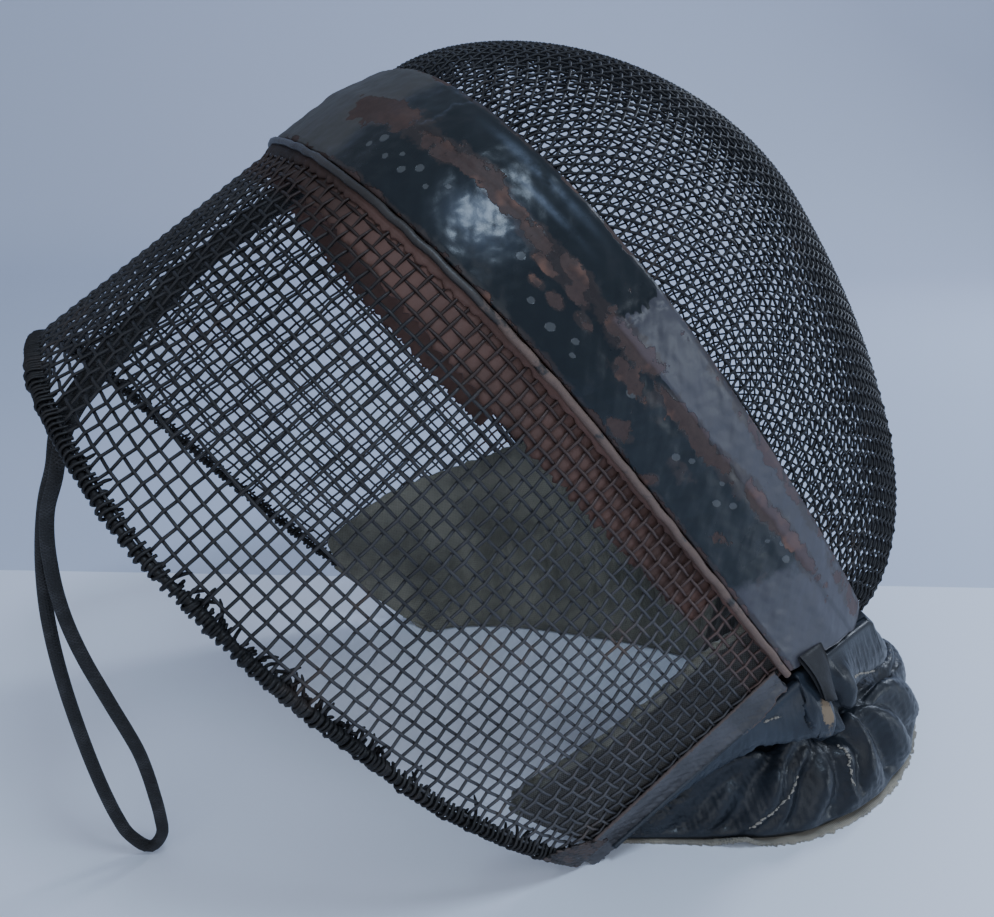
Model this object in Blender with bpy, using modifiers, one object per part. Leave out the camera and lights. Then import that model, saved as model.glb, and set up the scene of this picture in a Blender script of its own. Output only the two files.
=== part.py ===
"""An antique fencing mask lying on its bib, face up to the front.

Metres, +Z up. +X points the way the face looks, the wearer's left and right are +Y and -Y.
The floor is Z = 0 and the origin lies on it, under the middle of the mask's outline.

The wire mask is shaped in the wearer's own frame: f forwards through the face, s to the
side and u up from the jaw to the crown. An empty lays that frame back onto the floor.
The bib lies on the floor itself, so it is shaped in floor coordinates.
"""

from math import cos, pi, radians, sin

import bmesh
import bpy
from mathutils import Matrix, Vector

# How the mask lies: the face leans back from upright, and the empty stands here on the floor.
RECLINE = radians(38.71)
LIE = Vector((-0.0373, 0.0, -0.0017))

# Walls, wires and the clearance that neighbouring pieces keep.
CLEAR = 0.0003
NET_WALL = 0.0016
BAND_WALL = 0.0014
STRIP_WALL = 0.0012
LINING_WALL = 0.0016
BACKING_WALL = 0.0015
RIM_WIRE_RADIUS = 0.0022
RIM_WIRE_REACH = 1.0045
BEAD_RADIUS = 0.0014
CORD_RADIUS = 0.00225

# Cross arches of the mask, from the near jaw over the crown to the far jaw. Straight-sided
# below the shoulder, a rounded arch above it, and drawn in or let out towards the jaw.
STATION_COLUMNS = ("half_width", "jaw_half", "jaw_up", "height", "shoulder", "roundness", "taper",
                   "forward", "lean", "sag")
RIM = dict(zip(STATION_COLUMNS, (0.1245, 0.1035, -0.0058, 0.2466, 0.555, 2.314, 2.41,
                                 0.0, -0.040, 0.0093)))
BAND_REAR = dict(zip(STATION_COLUMNS, (0.1072, 0.1148, 0.0, 0.2333, 0.507, 2.468, 2.46,
                                       0.1225, 0.0, -0.0025)))
BAND_FRONT = dict(zip(STATION_COLUMNS, (0.0988, 0.0900, -0.0351, 0.2612, 0.507, 2.468, 2.46,
                                        0.1672, 0.0152, -0.0025)))
LEAN_CENTRE = 0.130
ARCH_SHARE = 0.60

# Face dome: how far it stands out of the band, its pole and its fullness.
DOME_DEPTH = 0.0959
DOME_POLE_UP = 0.0814
DOME_FULLNESS = 1.748
CHIN_DIP = 0.010
CHIN_REACH = 0.006

# Coarse gaps cut through both nets, as a stand-in for their weave. The chin has no gaps, and
# its panel ends CHIN_SEAM of its own way short of each jaw.
ARCH_GAPS = 20
ARCH_BAR_SHARE = 0.30
SIDE_GAPS = 4
SIDE_BAR_SHARE = 0.26
DOME_ROWS = (0.0, 0.06, 0.21, 0.36, 0.45, 0.58, 0.71, 0.76)
DOME_GAP_ROWS = ((0.06, 0.36), (0.45, 0.71))
FRONT_ROWS = (0.765, 0.86, 0.94)
CHIN_COLUMNS = 6
CHIN_SEAM = 0.12
FRONT_CROWN = 0.0004

# Both nets are made in panels of so many columns of gaps. They meet in the middle of a bar,
# SEAM of arch share short of it on each side.
PANELS = (("near_jaw", 0, 4), ("near_cheek", 4, 8), ("crown", 8, 12), ("far_cheek", 12, 16),
          ("far_jaw", 16, 20))
SEAM = 0.0007

# Places along the depth of the mask, as shares of the way between two stations.
NET_TUCK = 0.20
DOME_TUCK = 0.80
LINING_REAR = 0.0215
LINING_REACH = 0.60
BAND_CROWN = (0.0, 0.0016, 0.0022, 0.0014, 0.0)

# Jaw strips that bind the lower edges of the side net: their ends as shares of its depth, and
# their edges as arch shares past the jaw.
STRIP_START = 0.04
STRIP_END = 0.955
STRIP_ABOVE = 0.014
STRIP_BELOW = 0.012
STRIP_STEPS = 8

# Cheek lining: its height above the jaw at the rim and at the band, and at the chin.
CHEEK_HIGH = 0.054
CHEEK_LOW = 0.030
CHIN_LINING = 0.012
CHIN_LINING_DEPTH = 0.70
CHEEK_START = 0.03
LINING_SHARES = (1.0, 0.66, 0.33, 0.0)

# The bib, a row for each section of its near half, from the rim corner round to the front.
# hem: the way along the lower edge of the mask; outer and inner: its edges on the floor.
BIB_COLUMNS = ("hem", "outer_x", "outer_y", "inner_x", "inner_y", "roll")
BIB_ROWS = (
    (0.06, -0.003, 0.0955, -0.013, 0.0860, 0.006),
    (0.20, 0.017, 0.1045, 0.005, 0.0850, 0.016),
    (0.34, 0.041, 0.1155, 0.027, 0.0750, 0.027),
    (0.45, 0.067, 0.1230, 0.045, 0.0630, 0.033),
    (0.54, 0.102, 0.1180, 0.061, 0.0500, 0.033),
    (0.62, 0.136, 0.1005, 0.077, 0.0370, 0.030),
    (0.75, 0.164, 0.0735, 0.090, 0.0230, 0.026),
    (0.88, 0.179, 0.0390, 0.098, 0.0110, 0.023),
    (1.00, 0.1835, 0.0, 0.101, 0.0, 0.023),
)
HEM_BAND_REAR = 0.45
HEM_BAND_FRONT = 0.62
BIB_SECTIONS = 32
BIB_GATHERS = 9
GATHER_DEPTH = 0.10
BACKING_PROUD = 0.0015
PAD_TOP_HALF = 0.0020
PAD_DROP_STRIP = 0.0056
PAD_DROP_EDGE = 0.0030
LINING_STANDOFF = 0.0038
LINING_LIFT = 0.0009

# Roll profile of the bib: shares of the roll's height, inwards from the outer edge and up.
# The flap above it bulges outwards by a share of its own length.
ROLL_PROFILE = ((0.84, 0.84), (0.66, 1.00), (0.44, 1.00), (0.22, 0.78), (0.06, 0.42), (0.0, 0.12))
ROLL_TUCK = 0.10
FLAP_BULGE = 0.20

# Elastic cord, a loop out of its tab and back. Inside the crown both strands follow the net,
# as rows of arch share, depth share and inset; below the rim the loop hangs to the floor.
CORD_ALONG_CROWN = (
    (-0.052, 0.915, 0.0076), (-0.060, 0.80, 0.0076), (-0.070, 0.68, 0.0068), (-0.084, 0.50, 0.0062),
    (-0.099, 0.33, 0.0062), (-0.115, 0.16, 0.0064), (-0.131, 0.01, 0.0074),
)
CORD_BESIDE = -0.026
CORD_HANGING = (
    (-0.1795, -0.0510, 0.1672), (-0.1841, -0.0493, 0.1530), (-0.1874, -0.0475, 0.1350),
    (-0.1889, -0.0455, 0.1150), (-0.1884, -0.0427, 0.0940), (-0.1864, -0.0400, 0.0720),
    (-0.1828, -0.0370, 0.0460), (-0.1788, -0.0345, 0.0250), (-0.1751, -0.0330, 0.0120),
    (-0.1711, -0.0322, 0.0045), (-0.1671, -0.0335, 0.0028), (-0.1636, -0.0358, 0.0060),
    (-0.1628, -0.0385, 0.0180), (-0.1642, -0.0401, 0.0329), (-0.1671, -0.0420, 0.0510),
    (-0.1742, -0.0449, 0.0750), (-0.1806, -0.0474, 0.0970), (-0.1842, -0.0500, 0.1160),
    (-0.1852, -0.0527, 0.1341), (-0.1839, -0.0559, 0.1508), (-0.1796, -0.0582, 0.1640),
)
CORD_STEP = 0.0105

# Leather tab that holds both ends of the cord, as ranges of arch share, depth share and inset.
TAB_ACROSS = (-0.036, -0.094)
TAB_ALONG = (0.925, 1.0)
TAB_THROUGH = (0.0050, 0.0100)

COLOURS = {
    "wire": ((0.045, 0.043, 0.047), 0.55, 0.8),
    "enamel": ((0.022, 0.025, 0.030), 0.25, 0.0),
    "brown_leather": ((0.120, 0.055, 0.038), 0.70, 0.0),
    "iron_strip": ((0.110, 0.090, 0.085), 0.55, 0.5),
    "grey_canvas": ((0.150, 0.150, 0.125), 0.85, 0.0),
    "black_leather": ((0.020, 0.030, 0.038), 0.38, 0.0),
    "tan_canvas": ((0.420, 0.330, 0.210), 0.90, 0.0),
    "elastic": ((0.012, 0.012, 0.013), 0.80, 0.0),
}


def clear_scene():
    for obj in list(bpy.data.objects):
        bpy.data.objects.remove(obj, do_unlink=True)


def material(slot):
    found = bpy.data.materials.get(slot)
    if found:
        return found
    colour, roughness, metallic = COLOURS[slot]
    made = bpy.data.materials.new(slot)
    made.use_nodes = True
    shader = made.node_tree.nodes["Principled BSDF"]
    shader.inputs["Base Color"].default_value = (*colour, 1.0)
    shader.inputs["Roughness"].default_value = roughness
    shader.inputs["Metallic"].default_value = metallic
    made.diffuse_color = (*colour, 1.0)
    return made


def arch_outline(station, t):
    """(s, u) of a station's arch at t, from -1 at the near jaw over 0 at the crown to 1."""
    part = abs(t)
    if part <= ARCH_SHARE:
        angle = part / ARCH_SHARE * pi / 2
        power = 2 / station["roundness"]
        side = sin(angle) ** power * station["half_width"]
        rise = station["shoulder"] + (1 - station["shoulder"]) * max(cos(angle), 0.0) ** power
    else:
        down = (part - ARCH_SHARE) / (1 - ARCH_SHARE)
        drawn_in = station["half_width"] - station["jaw_half"]
        side = station["half_width"] - drawn_in * down ** station["taper"]
        rise = station["shoulder"] * (1 - down)
    side = side if t > 0 else -side
    return side, rise


def arch_point(station, t, inset=0.0):
    """Point (f, s, u) on a station's arch, moved inset metres towards the head."""
    side, rise = arch_outline(station, t)
    step = 0.004
    ahead = arch_outline(station, t + step)
    behind = arch_outline(station, t - step)
    along = Vector((ahead[0] - behind[0], (ahead[1] - behind[1]) * station["height"]))
    inward = Vector((along.y, -along.x)).normalized()
    up = station["jaw_up"] + station["height"] * rise
    forward = station["forward"] + station["lean"] * (up - LEAN_CENTRE)
    forward += station["sag"] * (2 * rise - 1) ** 2
    return Vector((forward, side + inward.x * inset, up + inward.y * inset))


def side_point(t, share, inset=0.0):
    """On the side wall, share 0 at the rim and 1 at the band's rear edge."""
    return arch_point(RIM, t, inset).lerp(arch_point(BAND_REAR, t, inset), share)


def band_point(t, share, inset=0.0):
    """On the band, share 0 at its rear edge and 1 at its front edge."""
    return arch_point(BAND_REAR, t, inset).lerp(arch_point(BAND_FRONT, t, inset), share)


def wall_point(t, depth, inset=0.0):
    """On the side wall and on under the band: depth 0 to 1 is the side, 1 to 2 the band."""
    if depth <= 1:
        return side_point(t, depth, inset)
    return band_point(t, depth - 1, inset)


def chin_point(way, inset=0.0):
    """On the chin edge of the dome, way -1 at the near jaw, 0 in front and 1 at the far jaw."""
    jaw = arch_point(BAND_FRONT, 1.0)
    bend = cos(way * pi / 2)
    return Vector((jaw.x + CHIN_REACH * bend, sin(way * pi / 2) * (jaw.y - inset),
                   jaw.z + inset - CHIN_DIP * bend))


def to_floor(point):
    """A point of the wearer's frame (f, s, u), in floor coordinates."""
    return Matrix.Rotation(-RECLINE, 4, "Y") @ point + LIE


def lattice_marks(start, end, gaps, bar_share):
    """Marks of bars and gaps in turn, with a bar at both ends."""
    pitch = (end - start) / (gaps + bar_share)
    marks = [start]
    for number in range(gaps):
        marks.append(start + pitch * (number + bar_share))
        marks.append(start + pitch * (number + 1))
    marks.append(end)
    return marks


ARCH_MARKS = lattice_marks(-1.0, 1.0, ARCH_GAPS, ARCH_BAR_SHARE)


def new_object(name, mesh, slot, parent):
    obj = bpy.data.objects.new(name, mesh)
    obj.data.materials.append(material(slot))
    bpy.data.collections["fencing_mask"].objects.link(obj)
    obj.parent = parent
    return obj


def loft(name, rows, slot, parent, closed=False, skip=None, cap=None):
    """An open sheet through rows of points; skip(row, column) leaves a gap in it."""
    bm = bmesh.new()
    verts = [[bm.verts.new(point) for point in row] for row in rows]
    columns = len(rows[0]) if closed else len(rows[0]) - 1
    for i in range(len(rows) - 1):
        for j in range(columns):
            if skip and skip(i, j):
                continue
            k = (j + 1) % len(rows[0])
            bm.faces.new((verts[i][j], verts[i][k], verts[i + 1][k], verts[i + 1][j]))
    if cap is not None:
        tip = bm.verts.new(cap)
        for j in range(columns):
            bm.faces.new((verts[-1][j], verts[-1][(j + 1) % len(rows[0])], tip))
    bmesh.ops.recalc_face_normals(bm, faces=bm.faces)
    mesh = bpy.data.meshes.new(name)
    bm.to_mesh(mesh)
    bm.free()
    mesh.shade_smooth()
    return new_object(name, mesh, slot, parent)


def thicken(obj, wall):
    solid = obj.modifiers.new("wall", "SOLIDIFY")
    solid.thickness = wall
    solid.offset = 0.0
    solid.use_even_offset = True
    solid.use_rim = True
    return obj


def tube(name, points, radius, slot, parent, resolution=2):
    curve = bpy.data.curves.new(name, "CURVE")
    curve.dimensions = "3D"
    curve.bevel_depth = radius
    curve.bevel_resolution = resolution
    curve.use_fill_caps = True
    spline = curve.splines.new("POLY")
    spline.points.add(len(points) - 1)
    for target, point in zip(spline.points, points):
        target.co = (*point, 1.0)
    spline.use_smooth = True
    return new_object(name, curve, slot, parent)


def smooth_route(controls, step):
    """Points a step apart along a smooth curve through the controls (Catmull-Rom)."""
    points = [Vector(point) for point in controls]
    ends = [2 * points[0] - points[1]] + points + [2 * points[-1] - points[-2]]
    fine = []
    for i in range(1, len(ends) - 2):
        before, here, there, after = ends[i - 1:i + 3]
        for number in range(12):
            k = number / 12
            fine.append(0.5 * (2 * here + (there - before) * k
                               + (2 * before - 5 * here + 4 * there - after) * k ** 2
                               + (3 * here - before - 3 * there + after) * k ** 3))
    fine.append(points[-1])
    lengths = [(b - a).length for a, b in zip(fine, fine[1:])]
    count = round(sum(lengths) / step)
    spacing = sum(lengths) / count
    route = [fine[0]]
    travelled = 0.0
    for (a, b), length in zip(zip(fine, fine[1:]), lengths):
        while len(route) < count and travelled + length >= spacing * len(route):
            route.append(a.lerp(b, (spacing * len(route) - travelled) / length))
        travelled += length
    route.append(fine[-1])
    return route


def panel_marks(first, last):
    """Arch marks of a panel, from the middle of its first bar to the middle of its last."""
    start, end = ARCH_MARKS[2 * first], ARCH_MARKS[2 * last + 1]
    if first > 0:
        start = (start + ARCH_MARKS[2 * first + 1]) / 2 + SEAM
    if last < ARCH_GAPS:
        end = (ARCH_MARKS[2 * last] + end) / 2 - SEAM
    return [start] + ARCH_MARKS[2 * first + 1:2 * last + 1] + [end]


def build_side_panel(name, marks, parent):
    """A panel of the side net, gaps in every second row and column."""
    inset = BAND_WALL / 2 + CLEAR + NET_WALL / 2
    rim_gap = (RIM_WIRE_RADIUS + CLEAR) / BAND_REAR["forward"]
    depths = lattice_marks(rim_gap, 1.0, SIDE_GAPS, SIDE_BAR_SHARE) + [1.0 + NET_TUCK]
    rows = [[wall_point(t, depth, inset) for t in marks] for depth in depths]

    def in_gap(row, column):
        return row % 2 == 1 and column % 2 == 1 and row < 2 * SIDE_GAPS

    return thicken(loft(name, rows, "wire", parent, skip=in_gap), NET_WALL)


def dome_point(ring_point, rise):
    """A point of the face dome, rise 0 on its ring and 1 at its pole."""
    centre = Vector((ring_point.x, 0.0, DOME_POLE_UP))
    angle = rise * pi / 2
    spread = cos(angle) ** (2 / DOME_FULLNESS)
    out = sin(angle) ** (2 / DOME_FULLNESS)
    return centre + (ring_point - centre) * spread + Vector((DOME_DEPTH * out, 0.0, 0.0))


def face_panel(name, tuck, ring, parent, gaps):
    """A panel of the face net, from under the edge of the band most of the way to the front."""
    rows = [tuck] + [[dome_point(point, rise) for point in ring] for rise in DOME_ROWS]

    def in_gap(row, column):
        if not gaps or row == 0 or column % 2 == 0:
            return False
        low, high = DOME_ROWS[row - 1], DOME_ROWS[row]
        return any(low >= first and high <= last for first, last in DOME_GAP_ROWS)

    return thicken(loft(name, rows, "wire", parent, skip=in_gap), NET_WALL)


def build_face_net(parent):
    """The face dome: a panel under each stretch of the band, one at the chin and one in front."""
    inset = BAND_WALL / 2 + CLEAR + NET_WALL / 2
    for name, first, last in PANELS:
        marks = panel_marks(first, last)
        tuck = [band_point(t, DOME_TUCK, inset) for t in marks]
        ring = [band_point(t, 1.0, inset) for t in marks]
        face_panel("face_net_" + name, tuck, ring, parent, gaps=True)

    ways = [1 - 2 * k / CHIN_COLUMNS for k in range(CHIN_COLUMNS + 1)]
    back = Vector((band_point(0.0, 1.0).x - band_point(0.0, DOME_TUCK).x, 0.0, 0.0))
    chin_ways = [1 - CHIN_SEAM] + ways[1:-1] + [CHIN_SEAM - 1]
    chin = [chin_point(way, inset) for way in chin_ways]
    face_panel("face_net_chin", [point - back for point in chin], chin, parent, gaps=False)

    whole = [band_point(t, 1.0, inset) for t in ARCH_MARKS]
    whole += [chin_point(way, inset) for way in ways[1:-1]]
    rows = [[dome_point(point, rise) for point in whole] for rise in FRONT_ROWS]
    pole = dome_point(whole[len(ARCH_MARKS) // 2], 1.0)
    pole.x = sum(point.x for point in rows[-1]) / len(whole) + FRONT_CROWN
    thicken(loft("face_net_front", rows, "wire", parent, closed=True, cap=pole), NET_WALL)


def build_band(parent):
    """The enamelled band over the crown, crowned between its two edges."""
    rows = []
    for k, proud in enumerate(BAND_CROWN):
        share = k / (len(BAND_CROWN) - 1)
        rows.append([band_point(t, share, -proud) for t in ARCH_MARKS])
    return thicken(loft("crown_band", rows, "enamel", parent), BAND_WALL)


def build_band_bead(parent):
    """Raised edge along the rear of the band."""
    outset = BEAD_RADIUS - BAND_WALL / 2
    share = 1.0 - (BEAD_RADIUS + 2 * CLEAR) / BAND_REAR["forward"]
    points = [side_point(t, share, -outset) for t in ARCH_MARKS]
    return tube("band_bead", points, BEAD_RADIUS, "iron_strip", parent)


def build_rim_wire(parent):
    inset = BAND_WALL / 2 + CLEAR + NET_WALL / 2
    marks = [-RIM_WIRE_REACH] + ARCH_MARKS[1:-1] + [RIM_WIRE_REACH]
    points = [side_point(t, 0.0, inset) for t in marks]
    return tube("rim_wire", points, RIM_WIRE_RADIUS, "wire", parent)


def build_band_lining(parent):
    """Leather strip inside the nets, showing behind the band's rear edge."""
    inset = BAND_WALL / 2 + 2 * CLEAR + NET_WALL + LINING_WALL / 2
    rear = 1.0 - LINING_REAR / BAND_REAR["forward"]
    depths = (rear, 1.0, 1.0 + LINING_REACH)
    rows = [[wall_point(t, depth, inset) for t in ARCH_MARKS[4:-4]] for depth in depths]
    return thicken(loft("band_lining", rows, "brown_leather", parent), LINING_WALL)


def build_jaw_strip(name, side, parent):
    """Strip that binds the lower edge of the side net, outside it."""
    inset = BAND_WALL / 2 - STRIP_WALL / 2
    length = STRIP_END - STRIP_START
    shares = [STRIP_START + length * k / STRIP_STEPS for k in range(STRIP_STEPS + 1)]
    edges = (1.0 - STRIP_ABOVE, 1.0, 1.0 + STRIP_BELOW)
    rows = [[side_point(side * edge, share, inset) for share in shares] for edge in edges]
    return thicken(loft(name, rows, "iron_strip", parent), STRIP_WALL)


def hem_point(hem, outset):
    """Lower edge of the mask on the far side: jaw, then band end, then chin, by hem 0 to 1."""
    if hem < HEM_BAND_REAR:
        return side_point(1.0, hem / HEM_BAND_REAR) + Vector((0.0, outset, 0.0))
    if hem < HEM_BAND_FRONT:
        share = (hem - HEM_BAND_REAR) / (HEM_BAND_FRONT - HEM_BAND_REAR)
        return band_point(1.0, share) + Vector((0.0, outset, 0.0))
    way = 1 - (hem - HEM_BAND_FRONT) / (1 - HEM_BAND_FRONT)
    return chin_point(way, -outset)


def bib_section(along):
    """The bib's table read at along, 0 at the rim corner and 1 in front, as a dict."""
    place = along * (len(BIB_ROWS) - 1)
    row = min(int(place), len(BIB_ROWS) - 2)
    k = place - row
    rows = [BIB_ROWS[min(max(row + n, 0), len(BIB_ROWS) - 1)] for n in (-1, 0, 1, 2)]
    values = []
    for a, b, c, d in zip(*rows):
        values.append(0.5 * (2 * b + (c - a) * k + (2 * a - 5 * b + 4 * c - d) * k ** 2
                             + (3 * b - a - 3 * c + d) * k ** 3))
    return dict(zip(BIB_COLUMNS, values))


def bib_places(count):
    """(along, side) of the sections, from the near rim corner round to the far one."""
    near = [(k / count, -1) for k in range(count)]
    far = [(1 - k / count, 1) for k in range(count + 1)]
    return near + far


def mirrored(point, side):
    return Vector((point.x, point.y * side, point.z))


def pad_section(along):
    """Closed outline of the padded bib at one section of the far half."""
    row = bib_section(along)
    outer = Vector((row["outer_x"], row["outer_y"], 0.0))
    inner = Vector((row["inner_x"], row["inner_y"], 0.0))
    outwards = (outer - inner).normalized()
    roll = row["roll"] * (1 - GATHER_DEPTH * (0.5 - 0.5 * cos(2 * pi * BIB_GATHERS * along)))
    drop = PAD_DROP_STRIP if row["hem"] < HEM_BAND_REAR else PAD_DROP_EDGE
    lower = Vector((0.0, 0.0, -drop))
    top_out = to_floor(hem_point(row["hem"], PAD_TOP_HALF) + lower)
    top_in = to_floor(hem_point(row["hem"], -PAD_TOP_HALF / 2) + lower)
    base = BACKING_WALL + CLEAR
    roll_points = []
    for inwards, up in ROLL_PROFILE:
        roll_points.append(outer - outwards * inwards * roll + Vector((0.0, 0.0, base + up * roll)))
    flap = roll_points[0] - top_out
    bulge = top_out + flap * 0.5 + outwards * FLAP_BULGE * flap.length
    points = [top_out, bulge, *roll_points]
    points.append(outer - outwards * ROLL_TUCK * roll + Vector((0.0, 0.0, base)))
    points.append(inner + Vector((0.0, 0.0, base)))
    points.append(top_in)
    return points


def build_bib_pad():
    """The padded black leather bib: a gathered roll on the floor, with a flap up to the jaw."""
    sections = []
    for along, side in bib_places(BIB_SECTIONS):
        sections.append([mirrored(point, side) for point in pad_section(along)])
    bm = bmesh.new()
    rings = [[bm.verts.new(point) for point in section] for section in sections]
    count = len(rings[0])
    for first, second in zip(rings, rings[1:]):
        for j in range(count):
            k = (j + 1) % count
            bm.faces.new((first[j], first[k], second[k], second[j]))
    bm.faces.new(rings[0])
    bm.faces.new(rings[-1])
    bmesh.ops.triangulate(bm, faces=[face for face in bm.faces if len(face.verts) > 4])
    bmesh.ops.recalc_face_normals(bm, faces=bm.faces)
    mesh = bpy.data.meshes.new("bib_pad")
    bm.to_mesh(mesh)
    bm.free()
    mesh.shade_smooth()
    return new_object("bib_pad", mesh, "black_leather", None)


def build_bib_backing():
    """Flat canvas backing under the pad, a little proud of it: the face that the bib rests on."""
    inner_edge, outer_edge = [], []
    for along, side in bib_places(BIB_SECTIONS):
        row = bib_section(along)
        outer = Vector((row["outer_x"], row["outer_y"], BACKING_WALL / 2))
        inner = Vector((row["inner_x"], row["inner_y"], BACKING_WALL / 2))
        outer += (outer - inner).normalized() * BACKING_PROUD
        inner_edge.append(mirrored(inner, side))
        outer_edge.append(mirrored(outer, side))
    return thicken(loft("bib_backing", [inner_edge, outer_edge], "tan_canvas", None), BACKING_WALL)


def lining_section(along):
    """Points of the lining at one section of the far half, top edge first, in floor coordinates."""
    row = bib_section(along)
    hem = max(row["hem"], CHEEK_START)
    inset = BAND_WALL / 2 + 4 * CLEAR + NET_WALL + LINING_WALL / 2
    inner = Vector((row["inner_x"], row["inner_y"], LINING_LIFT))
    outer = Vector((row["outer_x"], row["outer_y"], LINING_LIFT))
    inner -= (outer - inner).normalized() * LINING_STANDOFF
    if hem < HEM_BAND_FRONT:
        depth = hem / HEM_BAND_REAR
        if depth > 1:
            depth = 1 + CHIN_LINING_DEPTH * (hem - HEM_BAND_REAR) / (HEM_BAND_FRONT - HEM_BAND_REAR)
        height = CHEEK_HIGH + (CHEEK_LOW - CHEEK_HIGH) * min(depth, 1.0)
        side_length = RIM["shoulder"] * RIM["height"]
        rise = height / side_length * (1 - ARCH_SHARE)
        upper = [wall_point(1.0 - rise * share, depth, inset) for share in LINING_SHARES]
    else:
        way = 1 - (hem - HEM_BAND_FRONT) / (1 - HEM_BAND_FRONT)
        back = arch_point(BAND_FRONT, 1.0).x - arch_point(BAND_REAR, 1.0).x
        edge = chin_point(way, inset) - Vector((back * (1 - CHIN_LINING_DEPTH), 0.0, 0.0))
        fade = CHEEK_LOW + (CHIN_LINING - CHEEK_LOW) * cos(way * pi / 2)
        upper = [edge + Vector((0.0, 0.0, fade * share)) for share in LINING_SHARES]
    upper = [to_floor(point) for point in upper]
    middle = upper[-1].lerp(inner, 0.5)
    return upper + [middle, inner]


def build_chin_lining():
    """Canvas lining: cheeks inside the side net, then down inside the bib to the floor."""
    sections = []
    for along, side in bib_places(BIB_SECTIONS // 2):
        sections.append([mirrored(point, side) for point in lining_section(along)])
    return thicken(loft("chin_lining", sections, "grey_canvas", None), LINING_WALL)


def build_cord_tab(parent):
    """Leather block inside the crown, under the lining."""
    near, far = TAB_ACROSS
    outer, inner = TAB_THROUGH
    corners = ((near, outer), (far, outer), (far, inner), (near, inner))
    rows = [[wall_point(t, depth, inset) for t, inset in corners] for depth in TAB_ALONG]
    bm = bmesh.new()
    rear, front = [[bm.verts.new(point) for point in row] for row in rows]
    for j in range(4):
        k = (j + 1) % 4
        bm.faces.new((rear[j], rear[k], front[k], front[j]))
    bm.faces.new(rear)
    bm.faces.new(front)
    bmesh.ops.recalc_face_normals(bm, faces=bm.faces)
    mesh = bpy.data.meshes.new("cord_tab")
    bm.to_mesh(mesh)
    bm.free()
    return new_object("cord_tab", mesh, "black_leather", parent)


def build_cord():
    """The loop, laid in floor coordinates."""
    strands = []
    for beside in (0.0, CORD_BESIDE):
        strand = []
        for t, depth, inset in CORD_ALONG_CROWN:
            strand.append(to_floor(side_point(t + beside, depth, inset)))
        strands.append(strand)
    hanging = [Vector(point) for point in CORD_HANGING]
    points = smooth_route(strands[0] + hanging + strands[1][::-1], CORD_STEP)
    return tube("elastic_cord", points, CORD_RADIUS, "elastic", None)


def main():
    clear_scene()
    collection = bpy.data.collections.new("fencing_mask")
    bpy.context.scene.collection.children.link(collection)
    laid = bpy.data.objects.new("laid_back", None)
    collection.objects.link(laid)
    laid.location = LIE
    laid.rotation_euler = (0.0, -RECLINE, 0.0)
    for name, first, last in PANELS:
        build_side_panel("side_net_" + name, panel_marks(first, last), laid)
    build_face_net(laid)
    build_band(laid)
    build_band_bead(laid)
    build_rim_wire(laid)
    build_band_lining(laid)
    build_jaw_strip("jaw_strip_near", -1.0, laid)
    build_jaw_strip("jaw_strip_far", 1.0, laid)
    build_bib_pad()
    build_bib_backing()
    build_chin_lining()
    build_cord_tab(laid)
    build_cord()


main()
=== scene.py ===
from functools import cached_property
from math import cos, pi, radians, sin

import bpy
import numpy as np
from mathutils import Matrix, Vector


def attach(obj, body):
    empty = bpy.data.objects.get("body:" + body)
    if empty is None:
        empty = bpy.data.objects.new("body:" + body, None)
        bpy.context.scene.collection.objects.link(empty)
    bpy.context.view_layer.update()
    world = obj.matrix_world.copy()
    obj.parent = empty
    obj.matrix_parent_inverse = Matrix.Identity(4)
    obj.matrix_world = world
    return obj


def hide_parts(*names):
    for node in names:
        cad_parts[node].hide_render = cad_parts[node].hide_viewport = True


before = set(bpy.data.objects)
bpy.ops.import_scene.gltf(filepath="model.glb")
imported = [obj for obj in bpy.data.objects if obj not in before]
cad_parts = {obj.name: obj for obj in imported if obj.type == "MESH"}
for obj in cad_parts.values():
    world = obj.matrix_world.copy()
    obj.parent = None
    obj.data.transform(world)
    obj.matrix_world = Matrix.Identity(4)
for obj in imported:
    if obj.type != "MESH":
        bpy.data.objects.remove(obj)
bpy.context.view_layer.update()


def table(columns, *rows):
    """Rows of values as dictionaries by the names of their columns."""
    return [dict(zip(columns, row)) for row in rows]


# The sizes down to the cord are the part's own, so that each piece lies where its solid is.
# Wearer's frame: f forwards through the face, s to the side, u up from the jaw to the crown.
RECLINE = radians(38.71)
TO_FLOOR = np.array(((cos(RECLINE), 0.0, -sin(RECLINE)), (0.0, 1.0, 0.0), (sin(RECLINE), 0.0, cos(RECLINE))))
LIE = np.array((-0.0373, 0.0, -0.0017))

# The gap kept between sheets, how thick they are, and the radii of the bead and the cord. The
# rim wire's reach is the arch share that it runs out to on both sides.
CLEAR = 0.0003
NET_WALL = 0.0016
BAND_WALL = 0.0014
STRIP_WALL = 0.0012
LINING_WALL = 0.0016
BACKING_WALL = 0.0015
RIM_WIRE_REACH = 1.0045
BEAD_RADIUS = 0.0014
CORD_RADIUS = 0.00225
# How far the nets lie inside the middle of the band's wall.
NET_INSET = BAND_WALL / 2 + CLEAR + NET_WALL / 2

STATION_COLUMNS = ("half_width", "jaw_half", "jaw_up", "height", "shoulder", "roundness", "taper",
                   "forward", "lean", "sag")
RIM, BAND_REAR, BAND_FRONT = table(
    STATION_COLUMNS,
    (0.1245, 0.1035, -0.0058, 0.2466, 0.555, 2.314, 2.41, 0.0, -0.040, 0.0093),
    (0.1072, 0.1148, 0.0, 0.2333, 0.507, 2.468, 2.46, 0.1225, 0.0, -0.0025),
    (0.0988, 0.0900, -0.0351, 0.2612, 0.507, 2.468, 2.46, 0.1672, 0.0152, -0.0025),
)
LEAN_CENTRE = 0.130
ARCH_SHARE = 0.60

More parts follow.
